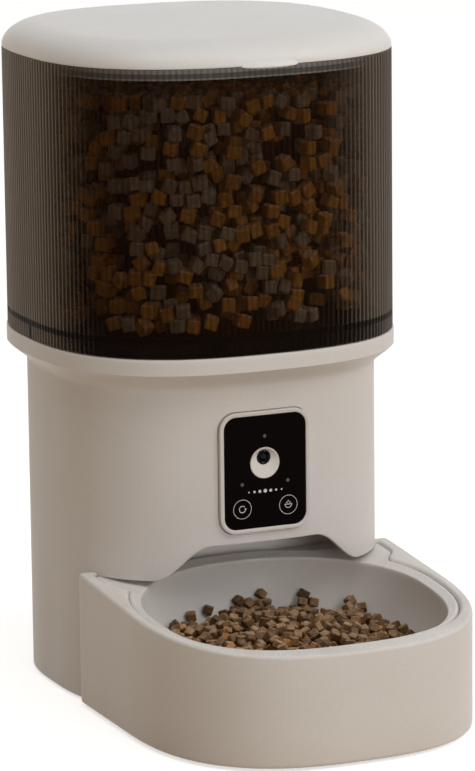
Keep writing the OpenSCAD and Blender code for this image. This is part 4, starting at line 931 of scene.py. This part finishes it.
def buildTray(tray):
    angles, step = trayAngles(tray)
    under = (angles > step + 0.002) & (angles < np.pi - step - 0.002)
    top = np.where(under, tray.underColumn, np.inf)  # the rim's greatest height

    def wall(inset):
        return trayReach(tray, inset, angles)

    def level(reach, z):
        return lay(reach * np.cos(angles), reach * np.sin(angles) - tray.ahead, z)

    def sloped(reach, drop, limit=np.inf):
        return level(reach, np.minimum(rimPlane(tray, reach * np.sin(angles) - tray.ahead), limit) - drop)

    r, soft = tray.edge, tray.recessEdge
    heights = np.r_[tray.foot + np.array([0, 0, 0.25, 0.9, 2.2]), 20, 40]
    rings = [level(wall(inset), z) for inset, z in zip((30, 2.0, 0.9, 0.25, 0, 0, 0), heights)]
    rings += [sloped(wall(r * run), r * (1 - rise), top) for run, rise in quarter(0, 90, 8)]
    hole, outer = flangeReach(tray, tray.gap, angles), wall(r)
    rings += [sloped(outer + (hole + soft - outer) * share, 0, top) for share in (0.4, 0.8)]
    rings += [sloped(hole + soft * (1 - rise), soft * run, top) for run, rise in quarter(0, 90, 7)]
    pocket = np.hypot(*bluntLoop(tray, tray.opening, tray.pocketGap, angles))
    rings += [sloped(reach, tray.flangeLow + 0.1) for reach in (hole, pocket)]
    rings += [level(pocket, 30), level(pocket, tray.floor), level(pocket * 0.5, tray.floor)]
    # rows run upwards on the outside, so the stack is turned over to face outwards
    shell = closedRings(np.stack(rings)[::-1], [0, -tray.ahead, tray.floor], [0, -tray.ahead, tray.foot])
    addPiece("trayShell", [shell], "trayShell", "tray", ["tray"], 40)


bowlLook = dict(depth=35.5, round=26.0, sag=0.25, wall=2.2, lip=1.0, brim=1.5)


def buildBowl(bowl, tray):
    angles = trayAngles(tray)[0]

    def ring(grow, z, scale=1.0):
        x, y = bluntLoop(tray, tray.opening, grow, angles)
        return lay(*onRim(tray, x * scale, y * scale, z))

    def outline(grow, z):
        reach = flangeReach(tray, grow, angles)
        return lay(*onRim(tray, reach * np.cos(angles), reach * np.sin(angles), z))

    # from the middle of the floor up the wall, over the lip and the dished flange, round the brim, then below
    top, edge = -tray.sink, -tray.sink - tray.dip
    low, under = edge - bowl.depth, bowl.depth + bowl.wall - 0.5
    rings = [ring(-bowl.round, low - bowl.sag * (1 - s), s) for s in (0.25, 0.6, 0.9)]
    rings += [ring(-bowl.round * run, edge - bowl.depth * rise) for run, rise in quarter(90, 4, 22)]
    rings += [ring(bowl.lip * run, edge - bowl.lip * (1 - rise)) for run, rise in quarter(20, 90, 6)]
    rings += [outline(-bowl.brim - 0.5, top - 0.15)]
    rings += [outline(-bowl.brim * run, top - bowl.brim * (1 - rise)) for run, rise in quarter(90, 0, 6)]
    rings += [outline(0, -tray.flangeLow), ring(bowl.wall, -tray.flangeLow)]
    rings += [ring(bowl.wall - bowl.round * run, edge - 0.5 - under * rise)
              for run, rise in quarter(10, 90, 10)]
    shell = closedRings(np.stack(rings), *(onRim(tray, 0, 0, low - drop) for drop in (bowl.sag, bowl.wall)))
    addPiece("bowlShell", [shell], "bowlShell", "tray", ["bowl"], 40)


buildTray(named(trayLook))
buildBowl(named(bowlLook), named(trayLook))
print("tray and bowl built")


# kibble: one bevelled cube of 26 faces, repeated with its own turn, size and shade

kibbleLook = dict(bevel=0.2, uneven=0.06, dent=0.018, stray=0.3)


def kibbleCube(bevel):
    # corner points of a cube of side 2, each split in three along its edges
    s = np.array([[x, y, z] for x in (-1, 1) for y in (-1, 1) for z in (-1, 1)], float)
    hull = bmesh.new()
    for point in np.vstack([s * np.where(np.eye(3)[k] > 0, 1, 1 - bevel) for k in range(3)]):
        hull.verts.new(point)
    bmesh.ops.convex_hull(hull, input=hull.verts)
    bmesh.ops.dissolve_limit(hull, angle_limit=0.01, verts=hull.verts, edges=hull.edges)
    hull.verts.index_update()
    corners = np.array([v.co for v in hull.verts])
    faces = [[v.index for v in f.verts] for f in hull.faces]
    hull.free()
    return corners, *(np.array([face for face in faces if len(face) == n]) for n in (4, 3))


def astray(rng, grid, step):
    # how far each piece lies from its place in an even pattern
    return rng.uniform(-kibbleLook["stray"], kibbleLook["stray"], grid.shape) * step


def spreadApart(layers, gap, rounds, hold):
    # every pair nearer than the gap moves apart by a share of what is missing, then all go back inside
    places = np.vstack(layers).astype(np.float32)
    for _ in range(rounds):
        step = places[:, None] - places[None]
        far = np.sqrt((step ** 2).sum(-1)) + 1e-6
        push = np.where(far < gap, (gap - far) / far * 0.5, 0)
        np.fill_diagonal(push, 0)
        places = hold(places + 0.7 * (step * push[..., None]).sum(1))
    return places.astype(float)


def scatterCubes(places, side, yaw, tilt, rng):
    # every cube: template * size, leaned by two small angles, turned by its yaw, then put in its place
    kibble, n = named(kibbleLook), len(places)
    corners, quads, fans = kibbleCube(kibble.bevel)
    size = side / 2 * (1 + kibble.uneven * rng.standard_normal((n, 1, 3)).clip(-1.6, 1.6))
    lean, roll = tilt[0] * rng.standard_normal(n), tilt[1] * rng.standard_normal(n)
    dents = kibble.dent * side * rng.standard_normal((n, len(corners), 3)).clip(-1.5, 1.5)
    local = corners[None] * size + dents
    for first, second, angle in ((1, 2, lean), (2, 0, roll), (0, 1, yaw)):
        c, s = np.cos(angle)[:, None], np.sin(angle)[:, None]
        u, v = local[..., first].copy(), local[..., second].copy()
        local[..., first], local[..., second] = c * u - s * v, s * u + c * v
    shift = (np.arange(n) * len(corners))[:, None, None]
    points = (local + places[:, None]).reshape(-1, 3)
    return points, (quads[None] + shift).reshape(-1, 4), (fans[None] + shift).reshape(-1, 3)


def addKibble(name, cubes, shade, body, core):
    # the cubes with their shades, and a core in the painted shade of the gaps
    piece = addPiece(name, [cubes, core], "kibbleBrown", body, sharpAngle=30)
    each = np.repeat(shade, len(cubes[0]) // len(shade))
    addShade(piece, "kibbleShade", np.r_[each, np.zeros(len(core[0]))])


heapLook = dict(  # gap and coreDown count in sides of a cube
    seed=7, side=4.4, pitch=5.2, halfX=72.0, halfY=60.0, centreX=-6.0, centreY=-100.0, edge=39.0, rise=9.0,
    layers=4, across=16, topShare=0.52, gap=1.14, rounds=14, tilt=(0.4, 0.4), core=0.8, coreDown=2.1,
    paleBelow=(0.04, 0.32, 0.36, 0.36), darkAbove=(1.0, 0.7, 0.3, 0.3), brown=(0.45, 0.72), pale=(0.76, 0.92),
    # dark: the painted shade of the lower pieces and the gaps
    dark=(0.0, 0.05),
    strays=((-30.6, -56.8, 1.5), (-19.3, -52.7, 2.8), (-1.1, -49.6, 5.2), (3.9, -51.0, 3.7),
            (11.7, -49.3, 8.0), (8.5, -52.5, 2.6), (13.0, -52.5, 3.0), (33.1, -55.4, 7.6), (31.0, -58.5, 3.2),
            (36.5, -59.5, 3.6), (52.8, -69.8, 5.7), (50.0, -73.0, 2.4), (56.7, -76.1, 3.2)))


def heapHeight(heap, x, y):
    # a low mound: highest under the chute, falling with the square of the distance
    rho = np.hypot((x - heap.centreX) / heap.halfX, (y - heap.centreY) / heap.halfY)
    return heap.edge + heap.rise * (1 - rho ** 2)


def bowlInside(bowl, tray, x, y):
    # height of the bowl's inner face: the distance from the opening's edge gives the angle along the wall
    halfX, front, rear = tray.opening
    ahead = y + tray.ahead < 0
    halfY, power = np.where(ahead, front, rear), np.where(ahead, tray.frontPower, tray.rearPower)
    rho = (np.abs(x / halfX) ** power + np.abs((y + tray.ahead) / halfY) ** power) ** (1 / power)
    inset = np.clip(halfX * (1 - rho), 0, bowl.round)
    depth = bowl.depth * np.sin(np.arccos(1 - inset / bowl.round))
    return rimPlane(tray, y) - tray.sink - tray.dip - depth


def buildBowlKibble(heap, tray, bowl):
    rng = np.random.default_rng(heap.seed)
    p, side = heap.pitch, heap.side
    i, j = np.meshgrid(*[np.arange(-heap.across, heap.across + 1)] * 2)
    layers = []
    for level in range(heap.layers):
        x = p * (i + 0.5 * (j % 2) + 0.3 * level) + astray(rng, i, p)
        y = p * 0.9 * (j + 0.4 * level) - tray.ahead + astray(rng, i, p)
        z = heapHeight(heap, x, y) - side * (0.5 + 0.9 * level) + rng.uniform(-0.5, 0.5, i.shape) * side * 0.6
        keep = rng.uniform(size=i.shape) < (1.0 if level else heap.topShare)
        layers.append(lay(x, y, z)[keep & (bowlInside(bowl, tray, x, y) + 0.3 * side < z)])

    def hold(places):
        x, y, z = places.T
        floor, roof = bowlInside(bowl, tray, x, y) + 0.55 * side, heapHeight(heap, x, y) + 0.7 * side
        middle = np.array([[0, -tray.ahead]])
        inward = np.where(floor > roof, 0.96, 1.0)[:, None]  # off the steep part of the wall
        flat = middle + (places[:, :2] - middle) * inward
        return np.column_stack([flat, np.maximum(np.minimum(z, roof), floor)])

    places = spreadApart(layers, heap.gap * side, heap.rounds, hold)
    # a few that came to lie on the others along the back
    strays = np.array(heap.strays)
    strays[:, 2] += heapHeight(heap, strays[:, 0], strays[:, 1])
    places = np.vstack([places, strays])
    # one draw for each picks its sort by its layer: fewer of the paler sort on top, and the lower ones
    # darker, in painted shade
    n, counts = len(places), [len(layer) for layer in layers]
    deep = np.r_[np.repeat(np.arange(heap.layers), counts), np.zeros(len(strays), int)]
    shade, pick = rng.uniform(*heap.brown, n), rng.uniform(size=n)
    shade = np.where(pick < np.array(heap.paleBelow)[deep], rng.uniform(*heap.pale, n), shade)
    shade = np.where(pick > np.array(heap.darkAbove)[deep], rng.uniform(*heap.dark, n), shade)
    cubes = scatterCubes(places, side, rng.uniform(0, 2 * np.pi, n), heap.tilt, rng)
    # dark core in painted shade: the same mound a little lower, closed along the bowl's inside
    s = np.linspace(0.03, heap.core, 12)[:, None]
    x, y = (s * axis for axis in bluntLoop(tray, tray.opening, 0.0, turn(60)))
    y = y - tray.ahead
    below = bowlInside(bowl, tray, x, y) + 0.3
    top = np.maximum(heapHeight(heap, x, y) - heap.coreDown * side, below + 0.2)
    rings = np.vstack([lay(x, y, top), lay(x, y, below)[::-1]])
    core = closedRings(rings, *([0, -tray.ahead, face[0].mean()] for face in (top, below)))
    addKibble("kibbleBowl", cubes, shade, "tray", core)


fillLook = dict(  # each layer: its depth in the tank and the share of its places that are taken
    tankShape, seed=21, side=6.7, pitch=8.0, low=199.5, high=316.0, wall=2.5,
    layers=((4.4, 0.56), (12.2, 0.48), (20.6, 0.55)), topX=80, topY=79, gap=1.14, rounds=16,
    tilt=(0.3, 0.16), coreInset=29.5, coreNarrow=18.0, throat=49.3, coreEnd=167.5, ochre=(0.78, 1.0),
    grey=(0.12, 0.4))


def buildTankKibble(fill):
    rng = np.random.default_rng(fill.seed)
    p, side = fill.pitch, fill.side
    layers = []
    for deep, share in fill.layers:
        inset = fill.wall + deep
        count = int(2 * np.pi * (fill.halfX - inset) / p)
        heights = np.arange(fill.low + 0.4 * max(deep - 8, 0), fill.high - side / 2, p)
        a, z = np.meshgrid(turn(count), heights)
        shift = (np.arange(len(heights)) % 2)[:, None] * np.pi / count  # every second row half a step on
        a = a + shift + astray(rng, a, 2 * np.pi / count)
        z = z + astray(rng, a, p)
        x, y = shrunk(fill, inset + rng.uniform(0, 2.5, a.shape), a)
        layers.append(lay(x, y, z)[rng.uniform(size=a.shape) < share])
    # the level top of the fill, under the drying box
    i, j = np.meshgrid(np.arange(-11, 12), np.arange(-12, 13))
    x = p * (i + 0.5 * (j % 2)) + astray(rng, i, p)
    y = p * 0.9 * j + astray(rng, i, p)
    inside = np.abs(x / fill.topX) ** fill.power + np.abs(y / fill.topY) ** fill.power < 1
    layers.append(lay(x, y, fill.high - 0.7 * side + rng.uniform(-2, 0.5, i.shape))[inside])

    def hold(places):
        x, y, z = places.T
        inset = fill.wall + 0.66 * side
        rho = np.abs(x / (fill.halfX - inset)) ** fill.power + np.abs(y / (fill.halfY - inset)) ** fill.power
        shrink = np.minimum(1, rho ** (-1 / fill.power))
        return np.column_stack([x * shrink, y * shrink, np.clip(z, fill.low, fill.high - 0.7 * side)])

    places = spreadApart(layers, fill.gap * side, fill.rounds, hold)
    n, around = len(places), np.arctan2(places[:, 1], places[:, 0])
    patch = 0.55 + 0.25 * np.sin(5 * around + places[:, 2] / 30)  # the two sorts lie in loose patches
    shade = np.where(rng.uniform(size=n) < patch, rng.uniform(*fill.ochre, n), rng.uniform(*fill.grey, n))
    yaw = around + 0.22 * rng.standard_normal(n)  # flat against the wall
    cubes = scatterCubes(places, side, yaw, fill.tilt, rng)
    # dark core in painted shade: inside the layers, then narrower down into the funnel's throat
    inset = fill.coreInset + np.array([0, 0, 0, fill.coreNarrow])
    halfX, halfY = (np.r_[half - inset, [fill.throat] * 2][:, None] for half in (fill.halfX, fill.halfY))
    level = np.r_[fill.high - 9, fill.high - 10, fill.low + np.array([12, 0, -8]), fill.coreEnd][:, None]
    x, y = squircle(halfX, halfY, np.r_[[fill.power] * 4, 2, 2][:, None], turn(72))
    core = closedRings(lay(x, y, level), [0, 0, fill.high - 9], [0, 0, fill.coreEnd])
    addKibble("kibbleTank", cubes, shade, "hopper", core)


buildBowlKibble(named(heapLook), named(trayLook), named(bowlLook))
buildTankKibble(named(fillLook))
print("kibble laid")


# finishes of the pieces that keep their CAD shape

keptPieces = dict(
    plainSteel="drive_shaft idler_pin motor battery_contacts cover_screws power_socket",
    greyMoulding="desiccant_cap rotor_well gearbox_case gearbox_cover",
    darkMoulding="hopper_funnel speaker camera_module",
    paleGear="rotor_hub output_gear idler_gear motor_pinion",
    softRubber="cables base_feet tray_pads",
    softVane="lid_seal rotor_vanes",
    warmShell="bottom_cover battery_door",
    boardGreen="main_board button_board",
    trimWhite="desiccant_box",
    paintedLightNiche="feed_niche",
    panelGloss="panel_plate",
    lampClear="lamps")
for finishName, nodeNames in keptPieces.items():
    for nodeName in nodeNames.split():
        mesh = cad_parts[nodeName].data
        mesh.materials.clear()
        mesh.materials.append(finish[finishName])
print("finishes put on the kept pieces")
